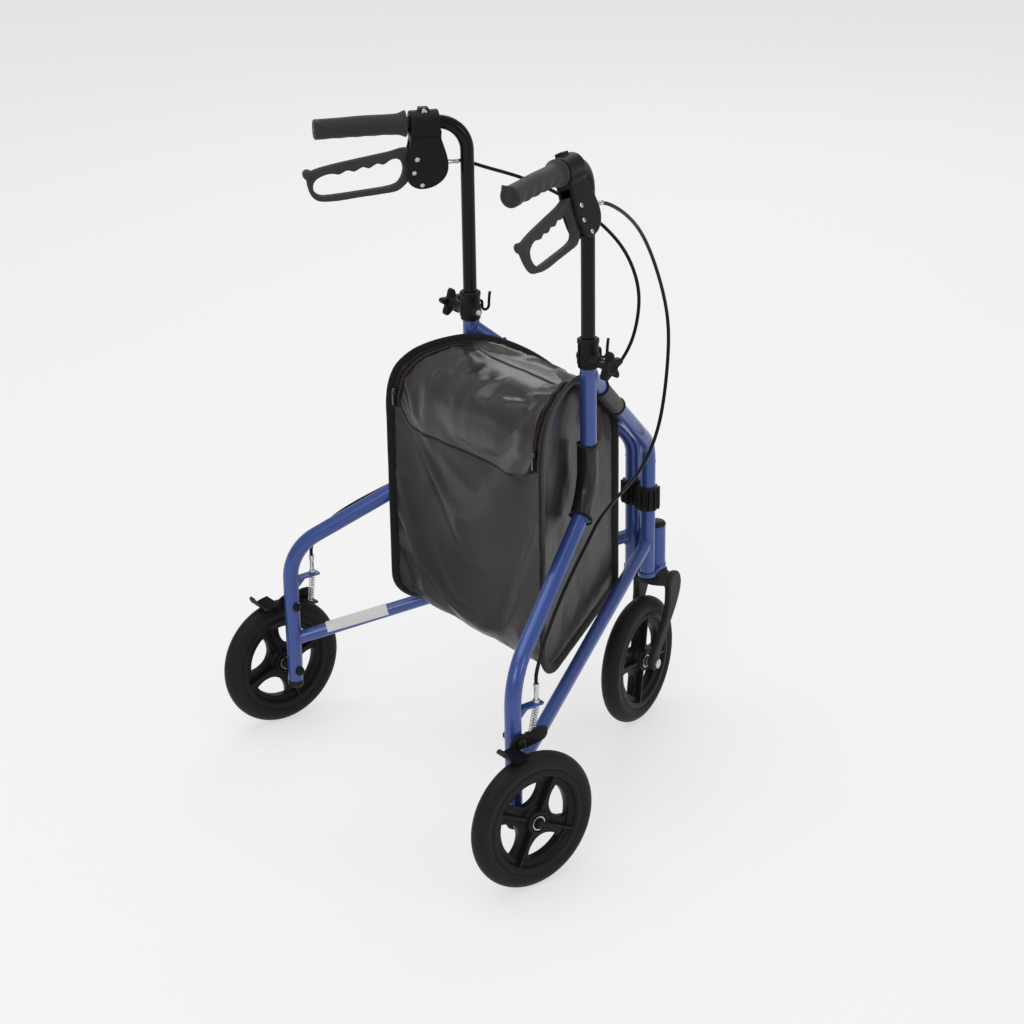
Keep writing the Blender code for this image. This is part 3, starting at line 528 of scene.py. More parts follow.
def rounded_corners(points, radius, steps=5):
    """A closed 2-D outline with its corners rounded."""
    p = [Vector(q) for q in points]
    found = []
    for i, corner in enumerate(p):
        before, after = p[i - 1], p[(i + 1) % len(p)]
        reach = min(radius, (before - corner).length * 0.45, (after - corner).length * 0.45)
        start = corner + (before - corner).normalized() * reach
        end = corner + (after - corner).normalized() * reach
        for k in range(steps + 1):
            t = k / steps
            found.append(start * (1 - t) ** 2 + corner * 2 * t * (1 - t) + end * t ** 2)
    return found


def bent_path(corners, radius, steps=12):
    """The centre line of a tube with round bends at its corners."""
    points = [Vector(c) for c in corners]
    path = [points[0]]
    for before, corner, after in zip(points, points[1:], points[2:]):
        to_before = (before - corner).normalized()
        to_after = (after - corner).normalized()
        half = to_before.angle(to_after) / 2
        centre = corner + (to_before + to_after).normalized() * (radius / math.sin(half))
        first = corner + to_before * (radius / math.tan(half)) - centre
        last = corner + to_after * (radius / math.tan(half)) - centre
        angle = first.angle(last)
        for i in range(steps + 1):
            t = i / steps
            mixed = first * math.sin((1 - t) * angle) + last * math.sin(t * angle)
            path.append(centre + mixed / math.sin(angle))
    path.append(points[-1])
    return path


def screw_head(radius, height, axis="X", centre=(0, 0, 0), out=1):
    """A domed socket head standing on a face at the centre, pointing out."""
    profile = [(0, 0.0), (radius, 0.0), (radius, height * 0.45), (radius * 0.86, height * 0.82),
               (radius * 0.50, height), (radius * 0.46, height * 0.55), (0, height * 0.5)]
    return lathe(handed(profile, out), 24, axis, centre)


# ---- Frame ----------------------------------------------------------------------------
LABEL_START, LABEL_LENGTH = 0.373, 0.092    # along the lower tube
KNOB_HALF = 0.0055              # half the star's thickness


def weld_bead(start, direction, branch_r, trunk_r, bead=0.0017):
    """A rippled bead where a round branch meets an upright trunk on the z axis."""
    d = direction.normalized()
    across = d.cross(Vector((0, 0, 1))).normalized()
    up = across.cross(d)
    points = []
    for i in range(72):
        a = 2 * math.pi * i / 72
        p = start + (across * math.cos(a) + up * math.sin(a)) * branch_r
        qa = d.x ** 2 + d.y ** 2
        qb = 2 * (p.x * d.x + p.y * d.y)
        qc = p.x ** 2 + p.y ** 2 - trunk_r ** 2
        t = (-qb - math.sqrt(max(qb * qb - 4 * qa * qc, 0))) / (2 * qa)
        points.append(p + d * t)
    return sweep(points, lambda i: bead * (1 + 0.12 * math.sin(i * 2.1)), 10, closed=True)


def build_frame(tag, side):
    body, place = "frame_" + tag, FOLD[tag]
    main = bent_path([(0, -POST_U, POST_TOP), (0, -POST_U, POST_BEND_Z), (0, -LEG_U, LEG_BEND_Z),
                      (0, -LEG_U, LEG_BOTTOM)], TUBE_BEND_R)
    front = bent_path([(0, -POST_U + TUBE_R * 0.4, FRONT_WELD_Z - 0.0035), (0, 0, FRONT_BEND_Z),
                       (0, 0, FRONT_BOTTOM)], FRONT_BEND_R)
    lower = [(0, -TUBE_R * 0.5, LOWER_FRONT_Z), (0, -LEG_U + TUBE_R * 0.5, LOWER_REAR_Z)]
    for name, path, radius, sides in (("main", main, TUBE_R, 40), ("front", front, TUBE_R, 40),
                                      ("lower", lower, LOWER_TUBE_R, 36)):
        piece(f"{name}_tube_fine_{tag}", sweep(path, radius, sides), "paint", body, place,
              [f"{name}_tube_{tag}"])

    slope = Vector((0, -POST_U, FRONT_WELD_Z - FRONT_BEND_Z)).normalized()
    fall = Vector((0, -LEG_U, LOWER_REAR_Z - LOWER_FRONT_Z)).normalized()
    beads = []
    for along, z, branch_r, u in ((slope, FRONT_WELD_Z, TUBE_R, POST_U),
                                  (fall, LOWER_REAR_Z, LOWER_TUBE_R, LEG_U),
                                  (-fall, LOWER_FRONT_Z, LOWER_TUBE_R, 0)):
        bead = weld_bead(Vector((0, 0, z)) - along * 0.05, along, branch_r, TUBE_R)
        bead.transform(shift(y=-u))
        beads.append(bead)
    piece("weld_beads_" + tag, join(*beads), "paint", body, place, sharp=80)
    seam = lathe([(TUBE_R, 0.3975), (TUBE_R + 0.0005, 0.3985), (TUBE_R + 0.0005, 0.4000),
                  (TUBE_R, 0.4010), (TUBE_R - 0.001, 0.3995)], 40, closed=True)
    piece("tube_seam_" + tag, seam, "paint", body, place)

    if tag == "left":
        begin = Vector((0, 0, LOWER_FRONT_Z)) + fall * LABEL_START
        wrap = sweep([begin + fall * (LABEL_LENGTH * i / 10) for i in range(11)],
                     LOWER_TUBE_R + 0.00025, 40, caps=False)
        piece("blank_label", wrap, "label", body, place)

    plug = [(0, 0.0655), (0.006, 0.0658), (0.0095, 0.0675), (0.0112, 0.0705), (0.0114, 0.0745),
            (0.0114, LEG_BOTTOM - 0.0003), (0, LEG_BOTTOM - 0.0003)]
    piece("leg_plug_fine_" + tag, lathe(plug, 40, centre=(0, -LEG_U, 0)), "black", body, place,
          ["leg_plug_" + tag])


def build_fold_gear(tag, side):
    pitch = 2 * math.pi / GEAR_TEETH
    phase = (math.pi if side > 0 else 0.0) - side * SPLAY + (0 if side > 0 else pitch / 2)
    outline = []
    for tooth in range(GEAR_TEETH):
        middle = phase + tooth * pitch
        for radius, half in ((GEAR_ROOT_R, -8.6), (GEAR_TIP_R, -3.0), (GEAR_TIP_R, 3.0),
                             (GEAR_ROOT_R, 8.6)):
            a = middle + math.radians(half)
            outline.append((radius * math.cos(a), radius * math.sin(a)))
    gear = prism(outline, GEAR_BOTTOM, GEAR_TOP, "Z")
    bore = rod(TUBE_R + 0.0002, GEAR_BOTTOM - 0.01, GEAR_TOP + 0.01, 40)
    piece("fold_gear_fine_" + tag, gear, "black", "frame_" + tag, FOLD[tag],
          ["fold_gear_" + tag], bevel=0.0012, cuts=[bore])
    band = lathe([(TUBE_R + 0.0002, GEAR_BOTTOM - 0.0022), (0.0136, GEAR_BOTTOM - 0.0018),
                  (0.0146, GEAR_BOTTOM + 0.001), (0.0146, GEAR_TOP - 0.001),
                  (0.0136, GEAR_TOP + 0.0018), (TUBE_R + 0.0002, GEAR_TOP + 0.0022)], 40,
                 closed=True)
    piece("fold_gear_band_" + tag, band, "black", "frame_" + tag, FOLD[tag])


def build_collar(tag, side):
    body, place = "frame_" + tag, CLAMP[tag]
    profile = [(HANDLE_R + 0.0004, COLLAR_TOP - 0.003), (HANDLE_R + 0.0004, COLLAR_TOP - 0.0004),
               (HANDLE_R + 0.0010, COLLAR_TOP), (0.0125, COLLAR_TOP), (0.0148, COLLAR_TOP - 0.0018),
               (0.0148, COLLAR_TOP - 0.0060), (0.0140, COLLAR_TOP - 0.0078),
               (0.0140, KNOB_Z + 0.0085), (0.0150, KNOB_Z + 0.0072), (0.0150, KNOB_Z - 0.0068),
               (0.0140, KNOB_Z - 0.0080), (0.0140, COLLAR_BOTTOM + 0.0012),
               (0.0132, COLLAR_BOTTOM), (TUBE_R + 0.0003, COLLAR_BOTTOM),
               (TUBE_R + 0.0003, COLLAR_TOP - 0.006)]
    slot_cut = block((-0.0014, -0.020, COLLAR_BOTTOM - 0.01), (0.0014, -0.009, COLLAR_TOP - 0.009))
    piece("collar_fine_" + tag, lathe(profile, 48, closed=True), "black", body, place,
          ["collar_" + tag], bevel=0.0004, cuts=[slot_cut])
    boss = [(0, 0.0105), (0.0094, 0.0105), (0.0088, 0.0175), (0.0078, 0.0228), (0.0070, 0.0240),
            (0, 0.0240)]
    lug = [(0, -0.0100), (0.0080, -0.0100), (0.0074, -0.0165), (0.0064, -0.0180), (0, -0.0180)]
    nut = [(0, -0.0178), (0.0046, -0.0178), (0.0046, -0.0192), (0.0040, -0.0198), (0, -0.0200)]
    boss, lug = (lathe(handed(p, side), 36, "X", (0, 0, KNOB_Z)) for p in (boss, lug))
    piece("collar_bosses_" + tag, join(boss, lug), "black", body, place)
    piece("clamp_nut_" + tag, lathe(handed(nut, side), 6, "X", (0, 0, KNOB_Z)), "zinc", body,
          place, bevel=0.0003)

    star = []
    for i in range(160):
        a = 2 * math.pi * i / 160
        lobe = 0.5 + 0.5 * math.cos(5 * a)
        reach = KNOB_R * (0.52 + 0.44 * lobe ** 1.15)
        star.append((reach * math.cos(a + 0.3), reach * math.sin(a + 0.3)))
    knob_place = place @ shift(z=KNOB_Z)
    knob = side_prism(star, side, KNOB_OUT - KNOB_HALF, KNOB_OUT + KNOB_HALF)
    piece("knob_fine_" + tag, knob, "black", "knob_body_" + tag, knob_place, ["knob_" + tag],
          bevel=0.0024, segments=4)
    hub = [(0, 0.0243), (0.0062, 0.0243), (0.0062, KNOB_OUT - 0.011), (0.0095, KNOB_OUT - 0.006),
           (0.0095, KNOB_OUT + 0.0062), (0.0082, KNOB_OUT + 0.0074), (0.0060, KNOB_OUT + 0.0074),
           (0.0056, KNOB_OUT + 0.0064), (0, KNOB_OUT + 0.0064)]
    piece("knob_hub_" + tag, lathe(handed(hub, side), 36, "X"), "black", "knob_body_" + tag,
          knob_place)

    hook = [(0, 0.0135, 0.640), (0, 0.0178, 0.640), (0, 0.0202, 0.6375)]
    hook += [(0, y, z) for y, z in arc((0.0262, 0.6310), 0.0058, 180, 360, 14)]
    hook += [(0, 0.0326, 0.640), (0, 0.0338, 0.6485), (0, 0.0339, 0.6500)]
    hook = smooth_points(hook, 3, closed=False)
    last = len(hook) - 1
    piece("hook_fine_" + tag, sweep(hook, lambda i: 0.002 if i < last else 0.0012, 20), "black",
          body, place, ["hook_" + tag])


# ---- Brakes at the wheels -------------------------------------------------------------
PAD_GAP = 0.004                 # from the tread to the curve that the brake foot is drawn from
ARM_IN, ARM_OUT = 0.0128, 0.0162            # distances of the brake arm's faces from the leg
COIL_TURNS, COIL_STEPS, COIL_R = 10, 20, 0.004


def build_rear_brake(tag, side):
    body, place = "frame_" + tag, LEG[tag]
    outline = rounded_corners([(-0.007, 0.0075), (0.007, 0.0075), (0.0072, 0.047),
                               (-0.0072, 0.047)], 0.004)
    tab = prism(outline, TAB_Z, TAB_Z + 0.003, "Z")
    gusset = prism([(0.0085, 0.217), (0.012, 0.221), (0.027, TAB_Z), (0.027, TAB_Z + 0.002),
                    (0.0085, TAB_Z + 0.002)], -0.0014, 0.0014)
    piece("cable_tab_fine_" + tag, join(tab, gusset), "paint", body, place,
          ["cable_tab_" + tag], bevel=0.0006)

    seat = TAB_Z + 0.003
    x = side * ADJUSTER_X
    thread = [(0.0031 if i % 2 else 0.0027, seat + 0.0052 + i * 0.0006) for i in range(22)]
    barrel = ([(0, seat + 0.0002), (0.0031, seat + 0.0002)] + thread
              + [(0.0031, 0.2570), (0.0040, 0.2574), (0.0040, 0.2640), (0.0034, 0.2645),
                 (0, 0.2645)])
    nut = lathe([(0.0028, seat + 0.0003), (0.0052, seat + 0.0003), (0.0052, seat + 0.0044),
                 (0.0028, seat + 0.0044)], 6, centre=(x, ADJUSTER_Y, 0), closed=True)
    piece("cable_adjuster_fine_" + tag, join(lathe(barrel, 28, centre=(x, ADJUSTER_Y, 0)), nut),
          "zinc", body, place, ["cable_adjuster_" + tag])

    top = Vector((x, ADJUSTER_Y, TAB_Z))
    bottom = Vector((side * -0.002, 0.0315, 0.1960))
    wire = piece("brake_wire_fine_" + tag, sweep([top, bottom], 0.0008, 12), "zinc", body, place,
                 ["brake_wire_" + tag])
    coil = []
    for i in range(COIL_TURNS * COIL_STEPS + 1):
        a = 2 * math.pi * i / COIL_STEPS
        t = 0.03 + 0.95 * (i / (COIL_TURNS * COIL_STEPS))
        coil.append(top.lerp(bottom, t)
                    + Vector((COIL_R * math.cos(a), COIL_R * math.sin(a), 0)))
    spring = piece("brake_spring_fine_" + tag, sweep(coil, 0.00062, 8), "zinc", body, place,
                   ["brake_spring_" + tag])
    for obj in (wire, spring):
        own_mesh(obj)

    arm_place = place @ shift(z=BRAKE_Z)
    plate = smooth_points([(0.0430, 0.0100), (0.0390, -0.0060), (0.0060, -0.0100),
                           (-0.0120, -0.0090), (-0.0160, -0.0020), (-0.0110, 0.0070),
                           (0.0, 0.0110), (0.0160, 0.0080), (0.0260, 0.0130)], 4)
    arm = side_prism(plate, side, ARM_IN, ARM_OUT)
    bar = side_prism([(0.0240, -0.0055), (0.0400, -0.0055), (0.0400, -0.0025),
                      (0.0240, -0.0025)], side, -0.0080, ARM_IN + 0.001)
    # The foot follows the tread, then turns up and narrows towards its rear lip.
    curve = smooth_points(
        arc((0.0, WHEEL_R - BRAKE_Z), WHEEL_R + PAD_GAP, 96, 108, 4)
        + [(-0.0365, -0.0065), (-0.0400, -0.0015), (-0.0425, 0.0045), (-0.0440, 0.0100)],
        3, closed=False)
    rows = []
    for i, (y, z) in enumerate(curve):
        t = max(0.0, i / (len(curve) - 1) - 0.55) / 0.45
        far = 0.0520 - 0.0130 * t ** 3
        near = ARM_IN + 0.001 + 0.0180 * t ** 2
        rows.append([(side * (near + (far - near) * k / 8), y,
                      z + 0.0015 * (k / 8 - 0.5) ** 2 + 0.0015) for k in range(9)])
    foot = sheet_from(rows)
    bmesh.ops.solidify(foot, geom=list(foot.faces), thickness=0.003)
    piece("brake_arm_fine_" + tag, join(arm, bar, foot), "steel", "brake_" + tag, arm_place,
          ["brake_arm_" + tag], bevel=0.0007)

    hub_in, hub_out = WHEEL_OUT - HUB_HALF, WHEEL_OUT + HUB_HALF
    bolts = {
        "brake_bolt": (BRAKE_Z,
                       [(0, -0.0168), (0.0040, -0.0166), (0.0060, -0.0150), (0.0064, -0.0132),
                        (0.0064, -0.0116), (AXLE_R, -0.0116), (AXLE_R, 0.0165), (0, 0.0165)],
                       [(0, 0.0163), (0.0066, 0.0163), (0.0066, 0.0208), (0.0035, 0.0216),
                        (0, 0.0216)]),
        "axle_bolt": (WHEEL_R,
                      [(0, -0.0172), (0.0045, -0.0170), (0.0066, -0.0152), (0.0070, -0.0130),
                       (0.0070, -0.0115), (AXLE_R, -0.0115), (AXLE_R, 0.0118),
                       (0.0075, 0.0118), (0.0075, hub_in - 0.0004), (AXLE_R, hub_in - 0.0004),
                       (AXLE_R, hub_out + 0.0004), (0.0078, hub_out + 0.0004),
                       (0.0078, hub_out + 0.0014), (0, hub_out + 0.0014)],
                      [(0, hub_out + 0.0012), (0.0066, hub_out + 0.0012),
                       (0.0066, hub_out + 0.0050), (0.0046, hub_out + 0.0062),
                       (0, hub_out + 0.0066)]),
    }
    for name, (z, shaft, nut) in bolts.items():
        shaft = lathe(handed(shaft, side), 28, "X", (0, 0, z))
        nut = lathe(handed(nut, side), 6, "X", (0, 0, z))
        piece(f"{name}_fine_{tag}", join(shaft, nut), "steel", body, place, [f"{name}_{tag}"],
              bevel=0.0003)


# ---- Wheels ---------------------------------------------------------------------------
TYRE_HALF, SPOKES = 0.0140, 4   # half the tyre's width, also the radius of its crown


def build_wheel(tag, place, angle):
    body = "wheel_" + tag
    crown = arc((WHEEL_R - TYRE_HALF, 0), TYRE_HALF, -80, 80, 26)
    bead = [(RIM_R + 0.0003, -0.0116), (0.0742, -0.0128), (0.0768, -0.0131), (0.0776, -0.0137)]
    profile = bead + crown + [(r, -x) for r, x in reversed(bead)]
    piece("tyre_fine_" + tag, lathe(profile, 96, "X", closed=True), "tyre", body, place,
          ["tyre_" + tag], sharp=50)

    ring = [(0.0545, -0.0030), (0.0550, -0.0058), (0.0572, -0.0068), (0.0612, -0.0072),
            (0.0630, -0.0088), (0.0642, -0.0115), (0.0665, -0.0126), (0.0700, -0.0128),
            (RIM_R, -0.0122)]
    ring = lathe(both_ways(ring), 96, "X", closed=True)
    barrel = [(AXLE_R + 0.0004, -HUB_HALF), (0.0098, -HUB_HALF), (0.0102, -0.0132),
              (0.0124, -0.0130), (0.0132, -HUB_HALF + 0.0006), (0.0150, -HUB_HALF + 0.0008),
              (0.0158, -0.0130), (0.0164, -0.0085), (0.0185, -0.0055), (0.0215, -0.0040)]
    hub = lathe(both_ways(barrel), 48, "X", closed=True)
    disc = lathe([(0.0165, -0.0044), (0.0570, -0.0044), (0.0570, 0.0044), (0.0165, 0.0044)], 96,
                 "X", closed=True)
    spin = turn(math.radians(angle - 90), "X")
    window = rounded_corners([(0.0135, 0.0245), (0.0245, 0.0135), (0.0400, 0.0108)]
                             + arc((0, 0), 0.0545, 15, 75, 12) + [(0.0108, 0.0400)], 0.0075)
    blade = [(-0.0020, 0.0150), (0.0020, 0.0150), (0.0015, 0.0655), (-0.0015, 0.0655)]
    windows, ribs = [], []
    for spoke in range(SPOKES):
        at = spin @ turn(2 * math.pi / SPOKES * spoke, "X")
        for made, outline, half in ((windows, window, 0.02), (ribs, blade, 0.0118)):
            made.append(prism(outline, -half, half))
            made[-1].transform(at)
    piece("rim_web_" + tag, disc, "rim", body, place, bevel=0.0016, cuts=windows)
    piece("rim_ribs_" + tag, join(*ribs), "rim", body, place, bevel=0.0006)
    piece("rim_fine_" + tag, join(ring, hub), "rim", body, place, ["rim_" + tag])
    race = []
    for face in (-1, 1):
        edge = face * (HUB_HALF + 0.0001)
        race.append(lathe([(0.0082, edge), (0.0098, edge), (0.0098, edge - face * 0.002),
                           (0.0082, edge - face * 0.002)], 40, "X", closed=True))
    piece("bearing_race_" + tag, join(*race), "zinc", body, place, bevel=0.0002)


# ---- Handles --------------------------------------------------------------------------
def build_handle(tag, side):
    body = "handle_" + tag
    path = bent_path([(0, 0, HANDLE_BOTTOM), (0, 0, GRIP_Z), (0, 0.004 - GRIP_END, GRIP_Z)],
                     HANDLE_BEND_R, 16)
    piece("handle_tube_fine_" + tag, sweep(path, HANDLE_R, 40), "gloss", body, HANDLE[tag],
          ["handle_tube_" + tag])

    # The grip: scalloped below, with a palm swell, a flared mouth and a lip with one crease.
    # t runs from the mouth to the end, and angles are counted from +x towards +z.
    rows, sides, end_from = 96, 72, 0.985
    scallop_side = math.radians(-48 if side > 0 else -132)
    nub_side = math.radians(128 if side > 0 else 52)
    crease_from = math.radians(-130 if side > 0 else -50)
    crease_to = math.radians(-235 if side > 0 else 55)
    shape = []
    for i in range(rows + 1):
        t = i / rows
        s = GRIP_START + (GRIP_END - GRIP_START) * t
        ring = []
        for k in range(sides):
            a = 2 * math.pi * k / sides
            under = max(0.0, math.cos(a - scallop_side)) ** 2.2
            waves = 0.5 - 0.5 * math.cos(2 * math.pi * (t - 0.16) / 0.185)
            scallop = 0.0027 * waves * under if 0.16 < t < 0.90 else 0.0
            palm = 0.0010 * math.exp(-((t - 0.45) / 0.22) ** 2) * max(0.0, math.sin(a))
            flare = 0.0036 * math.exp(-(t / 0.055) ** 2) + 0.0006 * math.exp(-(t / 0.18) ** 2)
            lip = 0.0030 * math.exp(-((1 - t) / 0.04) ** 2)
            lip *= max(0.0, math.cos(a - nub_side)) ** 24
            along = max(0.0, (t - 0.60) / 0.40)
            off = (a - crease_from - (crease_to - crease_from) * along + math.pi) % (2 * math.pi)
            lip += 0.0013 * min(1.0, 4 * along) * math.exp(-((off - math.pi) / 0.14) ** 2)
            radius = GRIP_R - 0.0002 - scallop + palm + flare + lip
            radius -= 0.0016 * (max(0.0, t - end_from) / (1 - end_from)) ** 2
            ring.append((radius * math.cos(a), -s, GRIP_Z + radius * math.sin(a)))
        shape.append(ring)

    def level(radius, s):
        return ring_points(Vector((0, -s, GRIP_Z)), Vector((1, 0, 0)), Vector((0, 0, 1)), radius,
                           sides)

    mouth_r = HANDLE_R + 0.0001
    mouth = [level(mouth_r, GRIP_START + 0.004), level(mouth_r, GRIP_START)]
    end = [level(radius, GRIP_END - depth) for radius, depth in
           ((0.0100, 0.0), (0.0096, 0.0008), (0.0060, 0.0008), (0.0056, 0.0), (0.0022, 0.0))]
    bm, rings = tube_from(mouth + shape + end)
    bm.faces.new(rings[0])
    bm.faces.new(rings[-1])
    piece("grip_fine_" + tag, bm, "grip", body, HANDLE[tag], ["grip_" + tag], sharp=50)


HOUSING_SCREWS = ((0.0756, -0.0664), (0.0650, -0.0840))


def build_brake_unit(tag, side):
    body, place = "handle_" + tag, UNIT[tag]
    cheek = smooth_points([(-0.0400, -0.0060), (-0.0365, -0.0220), (-0.0315, -0.0380),
                           (-0.0284, -0.0520), (-0.0286, -0.0660), (-0.0350, -0.0780),
                           (-0.0480, -0.0868), (-0.0630, -0.0898), (-0.0750, -0.0872),
                           (-0.0838, -0.0790), (-0.0868, -0.0640), (-0.0862, -0.0480),
                           (-0.0815, -0.0330), (-0.0790, -0.0200), (-0.0788, -0.0060)], 5)
    shell = prism(cheek, -0.0116, 0.0116)
    clamp = rod(0.0172, -0.0788, -0.0387, 64, "Y")
    waist = block((-0.0148, -0.0788, -0.0170), (0.0148, -0.0387, -0.0040))
    ears = block((-0.0066, -0.0660, 0.0120), (0.0066, -0.0520, 0.0212))
    melted = fuse([shell, clamp, waist, ears], 0.0011, 4)
    bore = rod(HANDLE_R + 0.0003, -0.09, -0.03, 48, "Y")
    slot_cut = block((-0.0068, -0.100, -0.100), (0.0068, -0.0570, -0.0240))
    split = block((-0.0009, -0.090, 0.0100), (0.0009, -0.030, 0.0300))
    recesses = [rod(0.0043, low, high, 28, "X", (0, -s, z))
                for s, z in (LEVER_PIVOT,) + HOUSING_SCREWS
                for low, high in ((-0.02, -0.0104), (0.0104, 0.02))]
    piece("brake_housing_fine_" + tag, melted, "black", body, place, ["brake_housing_" + tag],
          cuts=[bore, slot_cut, split] + recesses, sharp=50)
    screws = [screw_head(0.0034, 0.0024, "X", (face * 0.0103, -s, z), face)
              for s, z in HOUSING_SCREWS for face in (-1, 1)]
    inboard = -side
    screws.append(screw_head(0.0042, 0.0026, "X", (inboard * 0.0064, -0.059, 0.0160), inboard))
    piece("housing_screws_" + tag, join(*screws), "zinc", body, place)
    pivot_y, pivot_z = -LEVER_PIVOT[0], LEVER_PIVOT[1]
    pin = join(rod(0.0039, -0.0104, 0.0104, 24, "X", (0, pivot_y, pivot_z)),
               screw_head(0.0036, 0.0026, "X", (0.0103, pivot_y, pivot_z), 1),
               screw_head(0.0036, 0.0026, "X", (-0.0103, pivot_y, pivot_z), -1))
    piece("lever_pin_fine_" + tag, pin, "zinc", body, place, ["lever_pin_" + tag])
    ferrule = [(0, -0.0300), (0.0036, -0.0300), (0.0036, -0.0230), (0.0030, -0.0222),
               (0.0030, -0.0170), (0.0034, -0.0166), (0.0034, -0.0110), (0, -0.0110)]
    piece("cable_ferrule_" + tag, lathe(ferrule, 24, "Y", (side * 0.006, 0, -0.058)), "zinc",
          body, place)

    loop = smooth_points([(0.0700, -0.0375), (0.0870, -0.0330), (0.1080, -0.0375),
                          (0.1505, -0.0440), (0.1900, -0.0505), (0.2150, -0.0570),
                          (0.2210, -0.0650), (0.2200, -0.0790), (0.2150, -0.0915),
                          (0.2040, -0.0985), (0.1800, -0.0992), (0.1526, -0.0966),
                          (0.1200, -0.0940), (0.0980, -0.0910), (0.0840, -0.0800),
                          (0.0720, -0.0640), (0.0620, -0.0570), (0.0595, -0.0480),
                          (0.0625, -0.0400)], 4)
    window = smooth_points([(0.2130, -0.0760), (0.2085, -0.0680), (0.1970, -0.0625),
                            (0.1860, -0.0612), (0.1770, -0.0628), (0.1660, -0.0580),
                            (0.1560, -0.0602), (0.1450, -0.0548), (0.1360, -0.0572),
                            (0.1250, -0.0515), (0.1160, -0.0535), (0.1050, -0.0470),
                            (0.0945, -0.0480), (0.0895, -0.0600), (0.0935, -0.0750),
                            (0.1060, -0.0838), (0.1500, -0.0884), (0.1906, -0.0914),
                            (0.2040, -0.0905), (0.2115, -0.0850)], 3)
    outer, hole = (prism([(-s, z) for s, z in outline], -half, half)
                   for outline, half in ((loop, 0.0058), (window, 0.02)))
    blank = as_object("lever", outer)
    carve(blank, [hole])
    tip = lathe([(0, -0.0080), (0.0045, -0.0078), (0.0064, -0.0060), (0.0066, 0.0),
                 (0.0064, 0.0060), (0.0045, 0.0078), (0, 0.0080)], 28, "X",
                (0, -0.2200, -0.0610))
    melted = fuse([as_bmesh(blank), tip], 0.0010, 4)
    piece("brake_lever_fine_" + tag, melted, "lever", "lever_" + tag, place,
          ["brake_lever_" + tag], sharp=60)


# ---- Cables ---------------------------------------------------------------------------
# Points (distance behind the fold axis, distance outwards, height) in the side frame's plane.
CABLE_ROUTES = {
    "right": [(0.2490, 0.0225, 0.8475), (0.2310, 0.0260, 0.8430), (0.2050, 0.0300, 0.8300),
              (0.1755, 0.0310, 0.8140), (0.1190, 0.0310, 0.7775), (0.0600, 0.0300, 0.7160),
              (0.0060, 0.0300, 0.6310), (0.0000, 0.0300, 0.5706), (0.0150, 0.0290, 0.5010),
              (0.0245, 0.0220, 0.4515), (0.0615, 0.0170, 0.4190), (0.1130, 0.0155, 0.4100),
              (0.1530, 0.0150, 0.4080), (0.1990, 0.0150, 0.4050), (0.2380, 0.0150, 0.3990),
              (0.2570, 0.0150, 0.3900), (0.3180, 0.0150, 0.3670), (0.3720, 0.0150, 0.3420),
              (0.4250, 0.0165, 0.3120), (0.4530, 0.0185, 0.2900)],
    "left": [(0.2490, 0.0040, 0.8425), (0.2400, 0.0090, 0.8415), (0.2290, 0.0140, 0.8390),
             (0.2170, 0.0160, 0.8330), (0.1830, 0.0160, 0.8215), (0.1490, 0.0150, 0.8100),
             (0.0900, 0.0150, 0.7800), (0.0350, 0.0150, 0.7330), (0.0060, 0.0150, 0.6940),
             (-0.0110, 0.0150, 0.6430), (-0.0080, 0.0150, 0.5980), (0.0030, 0.0160, 0.5540),
             (0.0350, 0.0170, 0.5100), (0.0850, 0.0170, 0.4520), (0.1500, 0.0160, 0.4220),
             (0.2100, 0.0160, 0.4050), (0.2600, 0.0155, 0.3960), (0.3150, 0.0152, 0.3840),
             (0.3570, 0.0152, 0.3660), (0.4020, 0.0155, 0.3440), (0.4380, 0.0170, 0.3210),
             (0.4580, 0.0185, 0.2960)],
}
TIE_U, TIE_Z = 0.262, 0.4125    # where the cable is tied to the sloping tube
TIE_R = 0.0125


def build_cable(tag, side):
    route = [FOLD[tag] @ Vector((side * out, -u, z)) for u, out, z in CABLE_ROUTES[tag]]
    for height in (0.2780, 0.2650):
        route.append(LEG[tag] @ Vector((side * ADJUSTER_X, ADJUSTER_Y, height)))
    path = relax(smooth_points(route, 12, closed=False), 60)
    obj = piece("brake_cable_fine_" + tag, sweep(path, CABLE_R, 14), "cable", None,
                stands_for=["brake_cable_" + tag])
    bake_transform(obj)
    tie = lathe([(0.0112, -0.0018), (TIE_R, -0.0018), (TIE_R, 0.0018), (0.0112, 0.0018)], 36,
                closed=True)
    for vert in tie.verts:      # drawn outwards, round the cable as well
        if vert.co.x * side > 0:
            vert.co.x += side * 0.0056 * abs(vert.co.x) / TIE_R
    slope = math.atan2(POST_BEND_Z - LEG_BEND_Z, LEG_U - POST_U)
    tie.transform(shift(y=-TIE_U, z=TIE_Z) @ turn(math.pi / 2 + slope, "X"))
    piece("cable_tie_" + tag, tie, "black", "frame_" + tag, FOLD[tag], bevel=0.0004)


